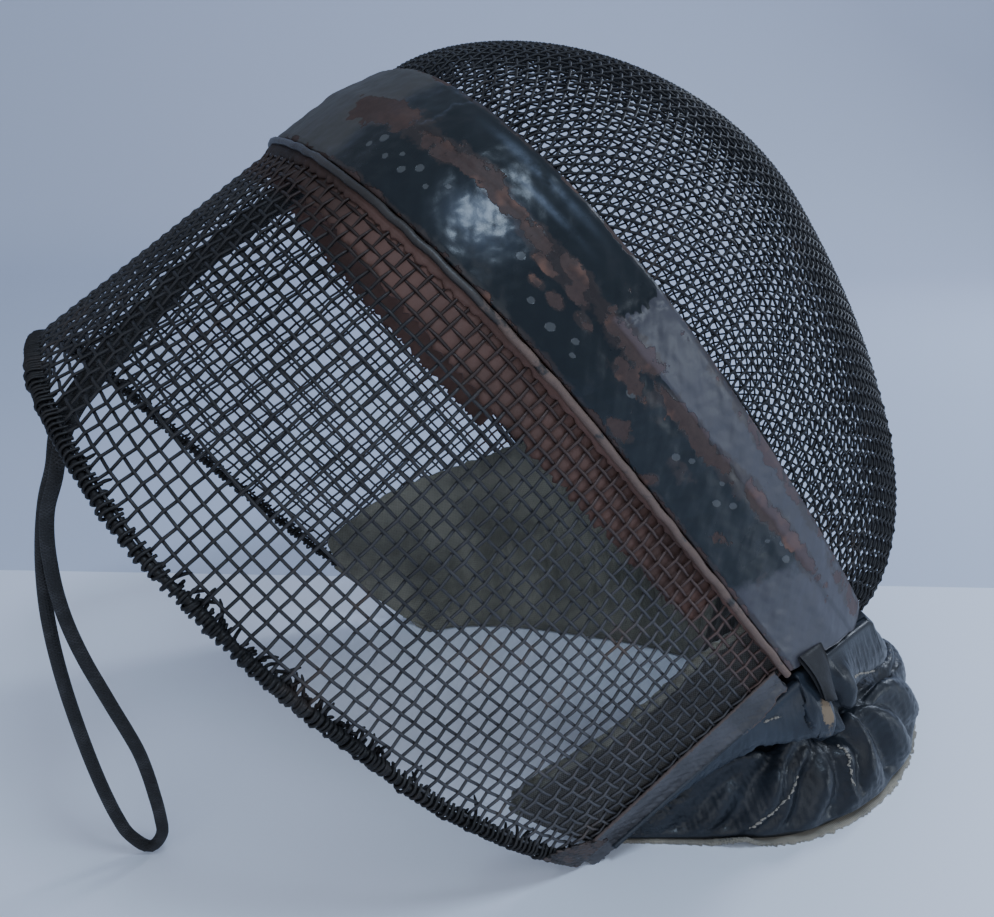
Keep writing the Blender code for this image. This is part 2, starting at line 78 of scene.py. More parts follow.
DOME_DEPTH = 0.0959
DOME_POLE_UP = 0.0814
DOME_FULLNESS = 1.748
CHIN_DIP = 0.010
CHIN_REACH = 0.006
LINING_REACH = 0.60

# The cord's way in: arch share, depth and how far inside the net. It lies up to 13 mm nearer the
# middle of the crown than the solid, as in the photograph.
CORD_ALONG_CROWN = (
    (-0.050, 0.915, 0.0076), (-0.048, 0.80, 0.0070), (-0.050, 0.68, 0.0062), (-0.058, 0.50, 0.0058),
    (-0.074, 0.33, 0.0058), (-0.100, 0.16, 0.0062), (-0.130, 0.01, 0.0074),
)
CORD_BESIDE = -0.026
CORD_HANGING = (
    (-0.1795, -0.0510, 0.1672), (-0.1841, -0.0493, 0.1530), (-0.1874, -0.0475, 0.1350),
    (-0.1889, -0.0455, 0.1150), (-0.1884, -0.0427, 0.0940), (-0.1864, -0.0400, 0.0720),
    (-0.1828, -0.0370, 0.0460), (-0.1788, -0.0345, 0.0250), (-0.1751, -0.0330, 0.0120),
    (-0.1711, -0.0322, 0.0045), (-0.1671, -0.0335, 0.0028), (-0.1636, -0.0358, 0.0060),
    (-0.1628, -0.0385, 0.0180), (-0.1642, -0.0401, 0.0329), (-0.1671, -0.0420, 0.0510),
    (-0.1742, -0.0449, 0.0750), (-0.1806, -0.0474, 0.0970), (-0.1842, -0.0500, 0.1160),
    (-0.1852, -0.0527, 0.1341), (-0.1839, -0.0559, 0.1508), (-0.1796, -0.0582, 0.1640),
)
CORD_STEP = 0.0105

# Weave: wires in the side net and its pitch, and the pitch and wire of the face net.
SIDE_WIRES = 122
SIDE_PITCH = 0.0051
SIDE_WIRE = 0.00058
FACE_PITCH = 0.00384
FACE_WIRE = 0.00050

PANELS = ("near_jaw", "near_cheek", "crown", "far_cheek", "far_jaw")


# Shape: the wearer's frame.

def arch_outline(station, t):
    part = np.abs(t)
    angle = np.minimum(part / ARCH_SHARE, 1.0) * pi / 2
    power = 2 / station["roundness"]
    down = np.maximum(part - ARCH_SHARE, 0.0) / (1 - ARCH_SHARE)
    drawn_in = station["half_width"] - station["jaw_half"]
    arch = part <= ARCH_SHARE
    side = np.where(arch, np.sin(angle) ** power * station["half_width"],
                    station["half_width"] - drawn_in * down ** station["taper"])
    top = np.maximum(np.cos(angle), 0.0) ** power
    rise = np.where(arch, station["shoulder"] + (1 - station["shoulder"]) * top,
                    station["shoulder"] * (1 - down))
    return np.where(t > 0, side, -side), rise


def arch_point(station, t, inset=0.0):
    """Points (f, s, u) on a station's arch for an array of t, moved inset metres inwards."""
    t = np.asarray(t, float)
    side, rise = arch_outline(station, t)
    step = 0.004
    ahead = arch_outline(station, t + step)
    behind = arch_outline(station, t - step)
    along_s = ahead[0] - behind[0]
    along_u = (ahead[1] - behind[1]) * station["height"]
    length = np.hypot(along_s, along_u)
    up = station["jaw_up"] + station["height"] * rise
    forward = station["forward"] + station["lean"] * (up - LEAN_CENTRE)
    forward = forward + station["sag"] * (2 * rise - 1) ** 2
    return np.stack((forward, side + along_u / length * inset, up - along_s / length * inset), -1)


def between(first, second, share):
    share = np.asarray(share, float)[..., None]
    return first * (1 - share) + second * share


def wall_point(t, depth, inset=0.0):
    """On the side wall, depth 0 at the rim to 1 at the band, and on under the band to 2."""
    t, depth, inset = np.broadcast_arrays(np.asarray(t, float), depth, inset)
    rim, rear = arch_point(RIM, t, inset), arch_point(BAND_REAR, t, inset)
    front = arch_point(BAND_FRONT, t, inset)
    side = between(rim, rear, np.minimum(depth, 1.0))
    band = between(rear, front, np.maximum(depth - 1.0, 0.0))
    return np.where((depth <= 1.0)[..., None], side, band)


def chin_point(way, inset=0.0):
    way = np.asarray(way, float)
    jaw = arch_point(BAND_FRONT, np.array(1.0))
    bend = np.cos(way * pi / 2)
    return np.stack((jaw[0] + CHIN_REACH * bend, np.sin(way * pi / 2) * (jaw[1] - inset),
                     jaw[2] + inset - CHIN_DIP * bend), -1)


def to_floor(points):
    """Points of the wearer's frame, in floor coordinates."""
    return turned(points) + LIE


def turned(directions):
    return np.asarray(directions) @ TO_FLOOR.T


def unit(vectors):
    return vectors / np.maximum(np.linalg.norm(vectors, axis=-1, keepdims=True), 1e-12)


def grid_normals(points):
    return unit(np.cross(np.gradient(points, axis=0), np.gradient(points, axis=1)))


def catmull_rom(a, b, c, d, k):
    """At k, 0 to 1, on the way from b to c along a smooth curve through four points."""
    return 0.5 * (2 * b + (c - a) * k + (2 * a - 5 * b + 4 * c - d) * k ** 2
                  + (3 * b - a - 3 * c + d) * k ** 3)


# Meshes.

def signed_volume(verts, quads):
    a, b, c, d = (verts[quads[:, k]] - verts.mean(0) for k in range(4))
    return np.sum(np.cross(a, b) * c) + np.sum(np.cross(a, c) * d)


def mesh_piece(name, verts, quads, material, attributes=None):
    """A smooth mesh of quads, facing outwards, that rides on the part and stays above the floor."""
    verts = np.array(verts, float)
    verts[:, 2] = np.maximum(verts[:, 2], 0.0)
    if signed_volume(verts, quads) < 0:
        quads = quads[:, ::-1]
    mesh = bpy.data.meshes.new(name)
    mesh.vertices.add(len(verts))
    mesh.vertices.foreach_set("co", np.asarray(verts, np.float32).ravel())
    mesh.loops.add(quads.size)
    mesh.loops.foreach_set("vertex_index", np.asarray(quads, np.int32).ravel())
    mesh.polygons.add(len(quads))
    mesh.polygons.foreach_set("loop_start", np.arange(0, quads.size, 4, dtype=np.int32))
    for key, values in (attributes or {}).items():
        layer = mesh.attributes.new(key, "FLOAT", "POINT")
        layer.data.foreach_set("value", np.asarray(values, np.float32).ravel())
    mesh.update(calc_edges=True)
    mesh.shade_smooth()
    mesh.materials.append(material)
    obj = add(name, mesh)
    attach(obj, "root")
    return obj


def grid_quads(rows, columns, closed=False):
    """Quads over a grid of rows by columns of vertices; closed joins the last column to the first."""
    i, j = np.indices((rows - 1, columns if closed else columns - 1))
    k = (j + 1) % columns
    return np.stack((i * columns + j, i * columns + k, (i + 1) * columns + k, (i + 1) * columns + j),
                    -1).reshape(-1, 4)


def tubes(centres, normals, radius, sides=5, valid=None):
    """Verts and quads of tubes along centres (wires, samples, 3), a ring of sides at each sample."""
    along = unit(np.gradient(centres, axis=1))
    across = unit(np.cross(along, normals))
    out = unit(np.cross(across, along))
    angle = (np.arange(sides) + 0.5) / sides * 2 * pi
    radius = np.broadcast_to(np.asarray(radius, float), centres.shape[:2])[..., None, None]
    ring = across[..., None, :] * np.cos(angle)[:, None] + out[..., None, :] * np.sin(angle)[:, None]
    verts = centres[..., None, :] + ring * radius
    wires, samples = centres.shape[:2]
    w, i, k = np.indices((wires, samples - 1, sides))
    if valid is not None:
        kept = valid[:, :-1] & valid[:, 1:]
        w, i, k = w[kept], i[kept], k[kept]
    base = (w * samples + i) * sides
    ahead = base + sides
    following = (k + 1) % sides
    quads = np.stack((base + k, base + following, ahead + following, ahead + k), -1).reshape(-1, 4)
    verts = verts.reshape(-1, 3)
    used, inverse = np.unique(quads, return_inverse=True)
    return verts[used], inverse.reshape(quads.shape), used // sides


def solid_sheet(points, wall):
    """Verts and quads of a sheet round a grid (rows, columns, 3) of points; wall may vary over it."""
    rows, columns = points.shape[:2]
    half = grid_normals(points) * (np.broadcast_to(np.asarray(wall, float), (rows, columns)) / 2)[..., None]
    ring = np.concatenate((points + half, (points - half)[:, ::-1]), axis=1)
    quads = grid_quads(rows, 2 * columns, closed=True)
    j = np.arange(columns - 1)
    front = np.stack((j, j + 1, 2 * columns - 2 - j, 2 * columns - 1 - j), -1)
    back = front[:, ::-1] + (rows - 1) * 2 * columns
    return ring.reshape(-1, 3), np.concatenate((quads, front, back))


def both_faces(values):
    """A value for each point of a sheet's grid, for the verts of both of its faces."""
    return np.concatenate((values, values[:, ::-1]), axis=1)


RIPPLE_WAVES = 7
RIPPLE_PACES = (3.0, 14.0)


def ripple(x, y, seed):
    """Smooth seeded waviness between about -1 and 1 over the plane."""
    rng = np.random.default_rng(seed)
    total = np.zeros(np.broadcast(x, y).shape)
    for _ in range(RIPPLE_WAVES):
        heading = rng.uniform(0.0, 2 * pi)
        pace = rng.uniform(*RIPPLE_PACES)
        total += np.sin((x * cos(heading) + y * sin(heading)) * pace + rng.uniform(0.0, 2 * pi))
    return total / RIPPLE_WAVES ** 0.5 / 1.2


# Side net.

def equal_shares(station, count, start=-1.0, end=1.0):
    """Arch shares of count points at equal steps along a station's arch."""
    t = np.linspace(start, end, 2001)
    points = arch_point(station, t)
    steps = np.linalg.norm(np.diff(points, axis=0), axis=1)
    travelled = np.concatenate(((0.0,), np.cumsum(steps)))
    return np.interp(np.linspace(0.0, travelled[-1], count), travelled, t)


WIRE_NUMBERS = np.arange(SIDE_WIRES, dtype=float)
RIM_SHARES = equal_shares(RIM, SIDE_WIRES)
BAND_SHARES = equal_shares(BAND_REAR, SIDE_WIRES)
# The wires round the head, how far up the net the first one is, in pitches, and the last depth.
CROSSINGS = round(BAND_REAR["forward"] / SIDE_PITCH)
FIRST_CROSSING = 0.45
LAST_DEPTH = 1.16
RIM_DEPTH = 0.03
# Crimp of a woven wire, in its own radius, and how far wires stray from even places.
CRIMP = 0.95
LANE_STRAY = 0.05
DEPTH_STRAY = 0.0016
NET_MIDDLE = np.array((0.05, 0.0, 0.09))


def side_grid(wire, depth):
    """Points and outward normals of the side net; wire counts from 0 at the near jaw."""
    t_rim = np.interp(wire, WIRE_NUMBERS, RIM_SHARES)
    t_band = np.interp(wire, WIRE_NUMBERS, BAND_SHARES)
    share = np.minimum(depth, 1.0)
    t = t_rim * (1 - share) + t_band * share
    points = wall_point(t, depth, NET_INSET)
    along = wall_point(t + 0.002, depth, NET_INSET) - wall_point(t - 0.002, depth, NET_INSET)
    deep = wall_point(t, depth + 0.01, NET_INSET) - wall_point(t, depth - 0.01, NET_INSET)
    normals = unit(np.cross(deep, along))
    inwards = np.sum(normals * (points - NET_MIDDLE), -1) < 0
    return points, np.where(inwards[..., None], -normals, normals)


def side_wires(name, lane, deep, stray, over, material):
    """Woven wires, a row each, from points given as wire numbers and depths; over is 1 to -1."""
    points, normals = side_grid(lane + stray[0], deep + stray[1])
    verts, quads, owner = tubes(to_floor(points + normals * (over * SIDE_WIRE * CRIMP)[..., None]),
                                turned(normals), SIDE_WIRE)
    marks = {"deep": deep.reshape(-1)[owner], "lane": lane.reshape(-1)[owner]}
    return mesh_piece(name, verts, quads, material, marks)


def every_other(count):
    """1 and -1 by turns, down a column."""
    return np.where(np.arange(count) % 2, -1.0, 1.0)[:, None]


def build_side_weave(material):
    """The coarse net: wires from the rim to the band, and wires round the head, over and under."""
    marks = (np.arange(CROSSINGS + 1) + FIRST_CROSSING) / CROSSINGS
    marks = marks[marks < LAST_DEPTH]
    half = np.arange(2 * len(marks) - 1)
    depth = np.concatenate(((RIM_DEPTH,), np.interp(half / 2, np.arange(len(marks)), marks)))
    phase = np.concatenate(((0.0,), np.cos(half * pi / 2)))
    lane, deep = np.meshgrid(WIRE_NUMBERS, depth, indexing="ij")
    stray = np.random.default_rng(3).normal(0.0, LANE_STRAY, SIDE_WIRES)[:, None]
    over = every_other(SIDE_WIRES) * phase
    down = side_wires("side_wires_lengthwise", lane, deep, (stray, 0.0), over, material)

    steps = np.arange(2 * SIDE_WIRES - 1)
    deep, lane = np.meshgrid(marks, steps / 2, indexing="ij")
    stray = np.random.default_rng(4).normal(0.0, DEPTH_STRAY, len(marks))[:, None]
    phase = np.cos(steps * pi / 2)
    side_wires("side_wires_round", lane, deep, (0.0, stray), -every_other(len(marks)) * phase, material)
    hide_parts(*["side_net_" + name for name in PANELS])


# Face net.

def face_ring(count=721):
    """Angle round the pole, distance from it and f of the ring that the dome stands on."""
    arch = arch_point(BAND_FRONT, np.linspace(-1.0, 1.0, count), NET_INSET)
    chin = chin_point(np.linspace(1.0, -1.0, count // 3)[1:-1], NET_INSET)
    ring = np.concatenate((arch, chin))
    angle = np.arctan2(ring[:, 2] - DOME_POLE_UP, ring[:, 1])
    order = np.argsort(angle)
    ring, angle = ring[order], angle[order]
    reach = np.hypot(ring[:, 1], ring[:, 2] - DOME_POLE_UP)
    angle = np.concatenate((angle - 2 * pi, angle, angle + 2 * pi))
    return angle, np.tile(reach, 3), np.tile(ring[:, 0], 3)


FACE_RING = face_ring()
DOME_FOOT = 0.1665


def dome_field(points):
    """Zero on the dome, above zero outside it; and how far in front of its ring a point is."""
    up = points[..., 2] - DOME_POLE_UP
    angle = np.arctan2(up, points[..., 1])
    reach = np.interp(angle, FACE_RING[0], FACE_RING[1])
    start = np.interp(angle, FACE_RING[0], FACE_RING[2])
    spread = np.hypot(points[..., 1], up) / reach
    start = DOME_FOOT + (start - DOME_FOOT) * np.minimum(spread / 0.6, 1.0) ** 2
    ahead = points[..., 0] - start
    lift = np.maximum(ahead, 0.0) / DOME_DEPTH
    return (spread ** DOME_FULLNESS + lift ** DOME_FULLNESS - 1.0) * 0.06, ahead


def dome_gradient(points):
    step = 1e-5
    columns = []
    for axis in range(3):
        shift = np.zeros(3)
        shift[axis] = step
        columns.append((dome_field(points + shift)[0] - dome_field(points - shift)[0]) / (2 * step))
    return np.stack(columns, -1)


def meet(first, second, guess, pitch):
    """Points of the dome that lie a pitch from both first and second, near the guess."""
    found = guess.copy()
    for _ in range(12):
        to_first, to_second = found - first, found - second
        error = np.stack((np.sum(to_first ** 2, -1) - pitch ** 2,
                          np.sum(to_second ** 2, -1) - pitch ** 2, dome_field(found)[0]), -1)
        slope = np.stack((2 * to_first, 2 * to_second, dome_gradient(found)), -2)
        slope = slope + np.eye(3) * 1e-9
        move = np.linalg.solve(slope, error[..., None])[..., 0]
        size = np.linalg.norm(move, axis=-1, keepdims=True)
        found = found - move * np.minimum(1.0, 0.7 * pitch / np.maximum(size, 1e-12))
    return found


def walk(start, heading, count, pitch):
    """Points a pitch apart along the dome from start, in the plane through it and heading."""
    track = [start]
    heading = unit(heading)
    side = np.cross(heading, (1.0, 0.0, 0.0))
    for _ in range(count):
        guess = track[-1] + heading * pitch
        point = guess.copy()
        for _ in range(12):
            gap = point - track[-1]
            error = np.array((gap @ gap - pitch ** 2, (point - start) @ side, dome_field(point)[0]))
            slope = np.stack((2 * gap, side, dome_gradient(point)))
            move = np.linalg.solve(slope, error)
            size = np.linalg.norm(move)
            point = point - move * min(1.0, 0.7 * pitch / max(size, 1e-12))
        heading = unit(point - track[-1])
        track.append(point)
    return np.array(track)


def face_grid(reach=58):
    """Crossings of the face net, row by column from its middle, with wires of equal pitch."""
    pole = np.array((DOME_FOOT + DOME_DEPTH, 0.0, DOME_POLE_UP))
    size = 2 * reach + 1
    grid = np.full((size, size, 3), np.nan)
    arms = {}
    for name, heading in (("right", (0.0, 1.0, 0.0)), ("up", (0.0, 0.0, 1.0)), ("down", (0.0, 0.0, -1.0))):
        arms[name] = walk(pole, np.array(heading), reach, FACE_PITCH)
    for vertical, way in ((arms["up"], 1), (arms["down"], -1)):
        quarter = np.full((reach + 1, reach + 1, 3), np.nan)
        quarter[0, :] = arms["right"]
        quarter[:, 0] = vertical
        for diagonal in range(2, 2 * reach + 1):
            rows = np.arange(max(1, diagonal - reach), min(diagonal - 1, reach) + 1)
            columns = diagonal - rows
            first, second = quarter[rows - 1, columns], quarter[rows, columns - 1]
            corner = quarter[rows - 1, columns - 1]
            good = ~np.isnan(first[:, 0] + second[:, 0] + corner[:, 0])
            if not good.any():
                continue
            rows, columns = rows[good], columns[good]
            first, second, corner = first[good], second[good], corner[good]
            found = meet(first, second, first + second - corner, FACE_PITCH)
            reach_error = np.abs(np.linalg.norm(found - first, axis=-1) / FACE_PITCH - 1)
            closing = np.linalg.norm(first - second, axis=-1)
            ahead = dome_field(found)[1]
            bad = (reach_error > 0.02) | (closing < 0.25 * FACE_PITCH) | (ahead < -0.016)
            found[bad] = np.nan
            quarter[rows, columns] = found
        for row in range(reach + 1):
            grid[reach + way * row, reach:] = quarter[row]
            grid[reach + way * row, :reach + 1] = (quarter[row] * (1.0, -1.0, 1.0))[::-1]
    return grid


# How far behind the dome's foot its wires still run, at the chin and elsewhere.
FACE_BEHIND_CHIN = 0.001
FACE_BEHIND = 0.008
CHIN_UP = -0.02


def build_face_weave(material):
    """The finer net over the face: two sets of woven wires across the dome."""
    grid = face_grid()
    points = np.nan_to_num(grid)
    behind = np.where(points[..., 2] < CHIN_UP, FACE_BEHIND_CHIN, FACE_BEHIND)
    kept = ~np.isnan(grid[..., 0]) & (dome_field(points)[1] > -behind)
    normals = unit(dome_gradient(points))
    sign = np.where(np.indices(kept.shape).sum(0) % 2, -1.0, 1.0)[..., None]
    for name, flip in (("face_wires_across", 1.0), ("face_wires_down", -1.0)):
        line = np.where(kept[..., None], points + normals * (flip * sign * FACE_WIRE * CRIMP), np.nan)
        facing, seen = normals, kept
        if flip < 0:
            line, facing, seen = (values.swapaxes(0, 1) for values in (line, facing, seen))
        verts, quads, _ = tubes(to_floor(filled(line)), turned(facing), FACE_WIRE, valid=seen)
        mesh_piece(name, verts, quads, material)
    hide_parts(*["face_net_" + name for name in PANELS + ("chin", "front")])


def filled(lines):
    """Gaps at the ends of lines continued straight, so that their directions stay defined."""
    lines = lines.copy()
    for step in (1, -1):
        for index in range(1, lines.shape[1]):
            here = index if step > 0 else lines.shape[1] - 1 - index
            missing = np.isnan(lines[:, here, 0]) & ~np.isnan(lines[:, here - step, 0])
            before = np.clip(here - 2 * step, 0, lines.shape[1] - 1)
            trend = np.nan_to_num(lines[:, here - step] - lines[:, before])
            lines[missing, here] = lines[missing, here - step] + trend[missing]
    return np.nan_to_num(lines)


# Rim, band and metal trim.

RIM_TUBE = 0.00125
# Rough, rusted stretch of the near rim, in shares of the arch: where it fades out, how much
# thicker the rim is there, and how far it is pushed up the net, as depth.
ROUGH_FROM, ROUGH_TO = -0.70, -0.40
ROUGH_FADE = 0.03
ROUGH_EXTRA = 0.55
ROUGH_SHIFT = 0.018
# A tie: its angles round the rim, how far it drifts and stands off, its stub, and its tail.
TIE_WIRE = 0.00062
TIE_TURNS = np.radians(np.linspace(65.0, 318.0, 11))
TIE_DRIFT = 0.0009
TIE_SLACK = 0.00016
STUB = 0.0018
TAIL_SHORTEST, TAIL_LONGEST = 0.0025, 0.0065
TAIL_STEPS = (0.3, 0.6, 0.85, 1.0)
CLUMP_TIES = 34


def rim_line(t):
    """Where the rim wire runs at arch shares, and how rough it is there."""
    ends = 0.5 + 0.5 * np.tanh((t - ROUGH_FROM) / ROUGH_FADE) * np.tanh((ROUGH_TO - t) / ROUGH_FADE)
    rough = np.clip(ends, 0.0, 1.0)
    return wall_point(t, ROUGH_SHIFT * rough, NET_INSET), rough


def rim_ties(name, numbers, tail_share, rng, material):
    """Ends of wires wound on the rim at wire numbers, some of them sticking out."""
    count = len(numbers)
    grid, out = side_grid(numbers, np.full(count, RIM_DEPTH))
    ahead = unit(side_grid(numbers, np.full(count, RIM_DEPTH + 0.05))[0] - grid)
    middle, rough = rim_line(np.interp(numbers, WIRE_NUMBERS, RIM_SHARES))
    out = unit(out - ahead * np.sum(out * ahead, -1, keepdims=True))
    sideways = unit(np.cross(out, ahead))
    slack = rng.gamma(1.6, TIE_SLACK, count)[:, None] * np.sin(TIE_TURNS / 2) ** 2
    slack *= rng.random(count)[:, None] < 0.6
    reach = RIM_TUBE * (1 + 0.5 * ROUGH_EXTRA * rough[:, None]) + TIE_WIRE + slack
    drift = rng.normal(0.0, TIE_DRIFT, count)[:, None] * np.linspace(0.0, 1.0, len(TIE_TURNS))
    loop = middle[:, None] + ahead[:, None] * (reach * np.cos(TIE_TURNS))[..., None]
    loop = loop + out[:, None] * (reach * np.sin(TIE_TURNS))[..., None]
    loop = loop + sideways[:, None] * drift[..., None]
    tail = rng.uniform(TAIL_SHORTEST, TAIL_LONGEST, count)
    tail = np.where(rng.random(count) < tail_share + 0.18 * rough, tail, STUB)[:, None]
    heading = ahead + sideways * rng.normal(0.0, 0.75, (count, 1))
    heading = heading - out * rng.uniform(-0.25, 0.5, (count, 1))
    curl = sideways * rng.normal(0.0, 0.8, (count, 1)) + out * rng.normal(0.0, 0.6, (count, 1))
    ends = [loop[:, -1] + (unit(heading) * share + curl * share ** 2 * 0.45) * tail for share in TAIL_STEPS]
    line = np.concatenate((grid[:, None], loop, np.stack(ends, 1)), axis=1)
    radius = np.full(line.shape[1], TIE_WIRE)
    radius[0] = SIDE_WIRE
    radius[-2:] = TIE_WIRE * 0.85, TIE_WIRE * 0.45
    facing = np.broadcast_to(sideways[:, None], line.shape)
    verts, quads, _ = tubes(to_floor(line), turned(facing), radius[None])
    mesh_piece(name, verts, quads, material)


def build_rim(material):
    """The wire at the rear opening, with the ends of the lengthwise wires wound on it."""
    t = equal_shares(RIM, 1200, -RIM_WIRE_REACH, RIM_WIRE_REACH)
    centres, rough = rim_line(t)
    outwards = wall_point(t, 0.0, 0.0) - wall_point(t, 0.0, 0.01)
    lumps = 0.6 + 0.5 * ripple(t * 260, 0.0, 13) + 0.3 * ripple(t * 700, 0.0, 14)
    radius = RIM_TUBE * (1 + 0.05 * lumps + ROUGH_EXTRA * lumps * rough)
    verts, quads, _ = tubes(to_floor(centres)[None], turned(outwards)[None], radius[None], 8)
    rim = mesh_piece("rim_core", verts, quads, material)
    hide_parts("rim_wire")
    rng = np.random.default_rng(11)
    rim_ties("rim_ties", WIRE_NUMBERS, 0.42, rng, material)
    midway = WIRE_NUMBERS[:-1] + rng.uniform(0.35, 0.65, SIDE_WIRES - 1)
    rim_ties("rim_windings", midway, 0.10, rng, material)
    rough = np.interp((ROUGH_FROM, ROUGH_TO), RIM_SHARES, WIRE_NUMBERS)
    rim_ties("rim_clump", rng.uniform(*rough, CLUMP_TIES), 0.35, rng, material)


# Rust worn through the enamel, on both halves of the band: its middle as an arch share and as
# a share across the band, how far it reaches both ways in those shares, and how strong it is.
WEAR_COLUMNS = ("t", "across", "reach_t", "reach_across", "strength")
WEAR = table(
    WEAR_COLUMNS,
    (0.095, 0.50, 0.060, 0.16, 1.00),
    (0.150, 0.56, 0.050, 0.14, 0.95),
    (0.215, 0.55, 0.045, 0.10, 0.90),
    (0.285, 0.60, 0.050, 0.09, 0.90),
    (0.335, 0.56, 0.040, 0.08, 0.80),
    (0.385, 0.55, 0.032, 0.09, 0.90),
    (0.440, 0.57, 0.034, 0.08, 0.90),
    (0.484, 0.39, 0.012, 0.05, 1.10),
    (0.450, 0.34, 0.012, 0.05, 0.85),
    (0.415, 0.46, 0.020, 0.05, 0.95),
    (0.455, 0.47, 0.018, 0.05, 1.00),
    (0.425, 0.33, 0.012, 0.04, 0.90),
    (0.505, 0.53, 0.030, 0.10, 0.95),
    (0.535, 0.56, 0.030, 0.10, 0.95),
    (0.560, 0.40, 0.040, 0.10, 0.55),
    (0.603, 0.52, 0.045, 0.07, 0.85),
    (0.590, 0.10, 0.010, 0.06, 1.00),
    (0.657, 0.05, 0.011, 0.06, 0.95),
    (0.635, 0.54, 0.045, 0.08, 0.95),
    (0.680, 0.58, 0.050, 0.09, 0.92),
    (0.735, 0.64, 0.045, 0.09, 0.95),
    (0.790, 0.68, 0.045, 0.09, 0.90),
    (0.850, 0.71, 0.045, 0.08, 0.80),
    (0.660, 0.28, 0.030, 0.08, 0.45),
    (0.820, 0.25, 0.090, 0.22, 0.25),
    (0.700, 0.95, 0.160, 0.06, 0.55),
    (0.940, 0.92, 0.060, 0.10, 0.70),
)
BAND_ARCH = 0.29
BAND_WIDTH = 0.045
# Plates that lap over the front of the band.
PLATES = table(
    ("from_t", "to_t", "from_across", "slant", "proud"),
    (0.183, 0.503, 0.585, -0.015, 0.0007),
    (0.500, 1.010, 0.555, 0.180, 0.0005),
)


def soft_step(x, low, high):
    share = np.clip((x - low) / (high - low), 0.0, 1.0)
    return share * share * (3 - 2 * share)


def plate_mask(t, across, number):
    """1 on one of the plates that lap over the front of the band, 0 off it."""
    plate = PLATES[number]
    part = np.abs(t) + 0.006 * ripple(across * 9, 0.0, 24 + number)
    along = soft_step(part, plate["from_t"] - 0.003, plate["from_t"] + 0.001)
    along = along * (1 - soft_step(part, plate["to_t"] - 0.001, plate["to_t"] + 0.004))
    edge = plate["from_across"] + plate["slant"] * (part - plate["from_t"]) / 0.5
    edge = edge + 0.012 * ripple(part * 30, number, 20 + number)
    return along * soft_step(across, edge - 0.012, edge + 0.012)


def band_height(t, across):
    """How far the band's face stands out of its flat sheet."""
    crown = 0.0022 * np.sin(pi * across) ** 0.9
    ridge = 0.0005 * np.exp(-((across - 0.55) / 0.07) ** 2)
    dents = 0.00022 * ripple(t * 14, across * 3, 5) + 0.00010 * ripple(t * 60, across * 9, 6)
    plates = sum(plate_mask(t, across, k) * plate["proud"] for k, plate in enumerate(PLATES))
    return crown + ridge + dents + plates


def band_grid(t, across):
    """Points of the band's face, across it from 0 at the rear to 1; its front corners are drawn in."""
    reach = t * (1 - 0.028 * np.clip((across - 0.72) / 0.28, 0.0, 1.0) ** 2 * np.abs(t) ** 12)
    return wall_point(reach, 1.0 + across, -band_height(t, across))


def patches_of(patches, t, across):
    """How strongly the patches of a table mark each place on the band."""
    worn = np.zeros(np.broadcast(t, across).shape)
    for patch in patches:
        shift = np.where(t > 0, 0.018 * np.sin(patch["t"] * 90), 0.0)
        far = ((np.abs(t) - patch["t"] - shift) / patch["reach_t"]) ** 2
        far = far + ((across - patch["across"]) / patch["reach_across"]) ** 2
        worn = np.maximum(worn, patch["strength"] * np.exp(-far * 0.9))
    return worn


def wear_of(t, across):
    worn = patches_of(WEAR, t, across)
    edges = 0.55 * np.exp(-(across / 0.05) ** 2) + 0.5 * np.exp(-((1 - across) / 0.035) ** 2)
    return np.maximum(worn, edges)


# Painted highlights: pale blue streaks that stand in for the lamp's reflection on the black enamel, in the
# columns of the rust.
PAINTED_HIGHLIGHTS = table(
    WEAR_COLUMNS,
    (0.334, 0.36, 0.034, 0.17, 0.60),
    (0.325, 0.890, 0.055, 0.032, 0.80),
    (0.352, 0.755, 0.042, 0.026, 0.60),
)


# Pale round specks in the enamel near the crown, as arch share and share across the band.
SPECKS = (
    (0.152, 0.256), (0.162, 0.348), (0.188, 0.252), (0.202, 0.335), (0.221, 0.247), (0.236, 0.335),
    (0.279, 0.365), (0.262, 0.262), (0.392, 0.372), (0.405, 0.452), (0.418, 0.330), (0.438, 0.215),
    (0.472, 0.190), (0.497, 0.255), (0.508, 0.175), (0.566, 0.330), (0.642, 0.310), (0.655, 0.390),
    (0.700, 0.480), (0.722, 0.350), (0.735, 0.450), (0.802, 0.520), (0.815, 0.610), (0.838, 0.560),
)


def speck_of(t, across):
    """How near each place is to one of the specks, 1 at its middle and 0.5 at its edge."""
    nearest = np.full(np.broadcast(t, across).shape, np.inf)
    for number, (arch, share) in enumerate(SPECKS):
        far = np.hypot((np.abs(t) - arch) * BAND_ARCH, (across - share) * BAND_WIDTH)
        nearest = np.minimum(nearest, far / (0.0013 + 0.0003 * sin(number * 1.7)))
    return np.clip(1 - nearest / 2, 0.0, 1.0)


def build_band(material):
    t, across = np.meshgrid(equal_shares(BAND_REAR, 561), np.linspace(0.0, 1.0, 55), indexing="ij")
    edge = np.minimum(across, 1 - across) * 54
    wall = BAND_WALL * np.where(edge < 1.5, 0.55, 1.0)
    verts, quads = solid_sheet(to_floor(band_grid(t, across)), wall)
    # Slate on the front plate is the enamel's own; slate over both ends of the band is painted reflection of
    # the pale floor, which the lower end faces.
    slate = np.maximum(plate_mask(t, across, 1), soft_step(np.abs(t), 0.78, 0.93))
    marks = {"worn": wear_of(t, across), "slate": slate, "speck": speck_of(t, across), "arch": np.abs(t),
             "across": across, "painted_highlight": patches_of(PAINTED_HIGHLIGHTS, t, across)}
    band = mesh_piece("enamelled_band", verts, quads, material,
                      {name: both_faces(values) for name, values in marks.items()})
    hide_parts("crown_band")


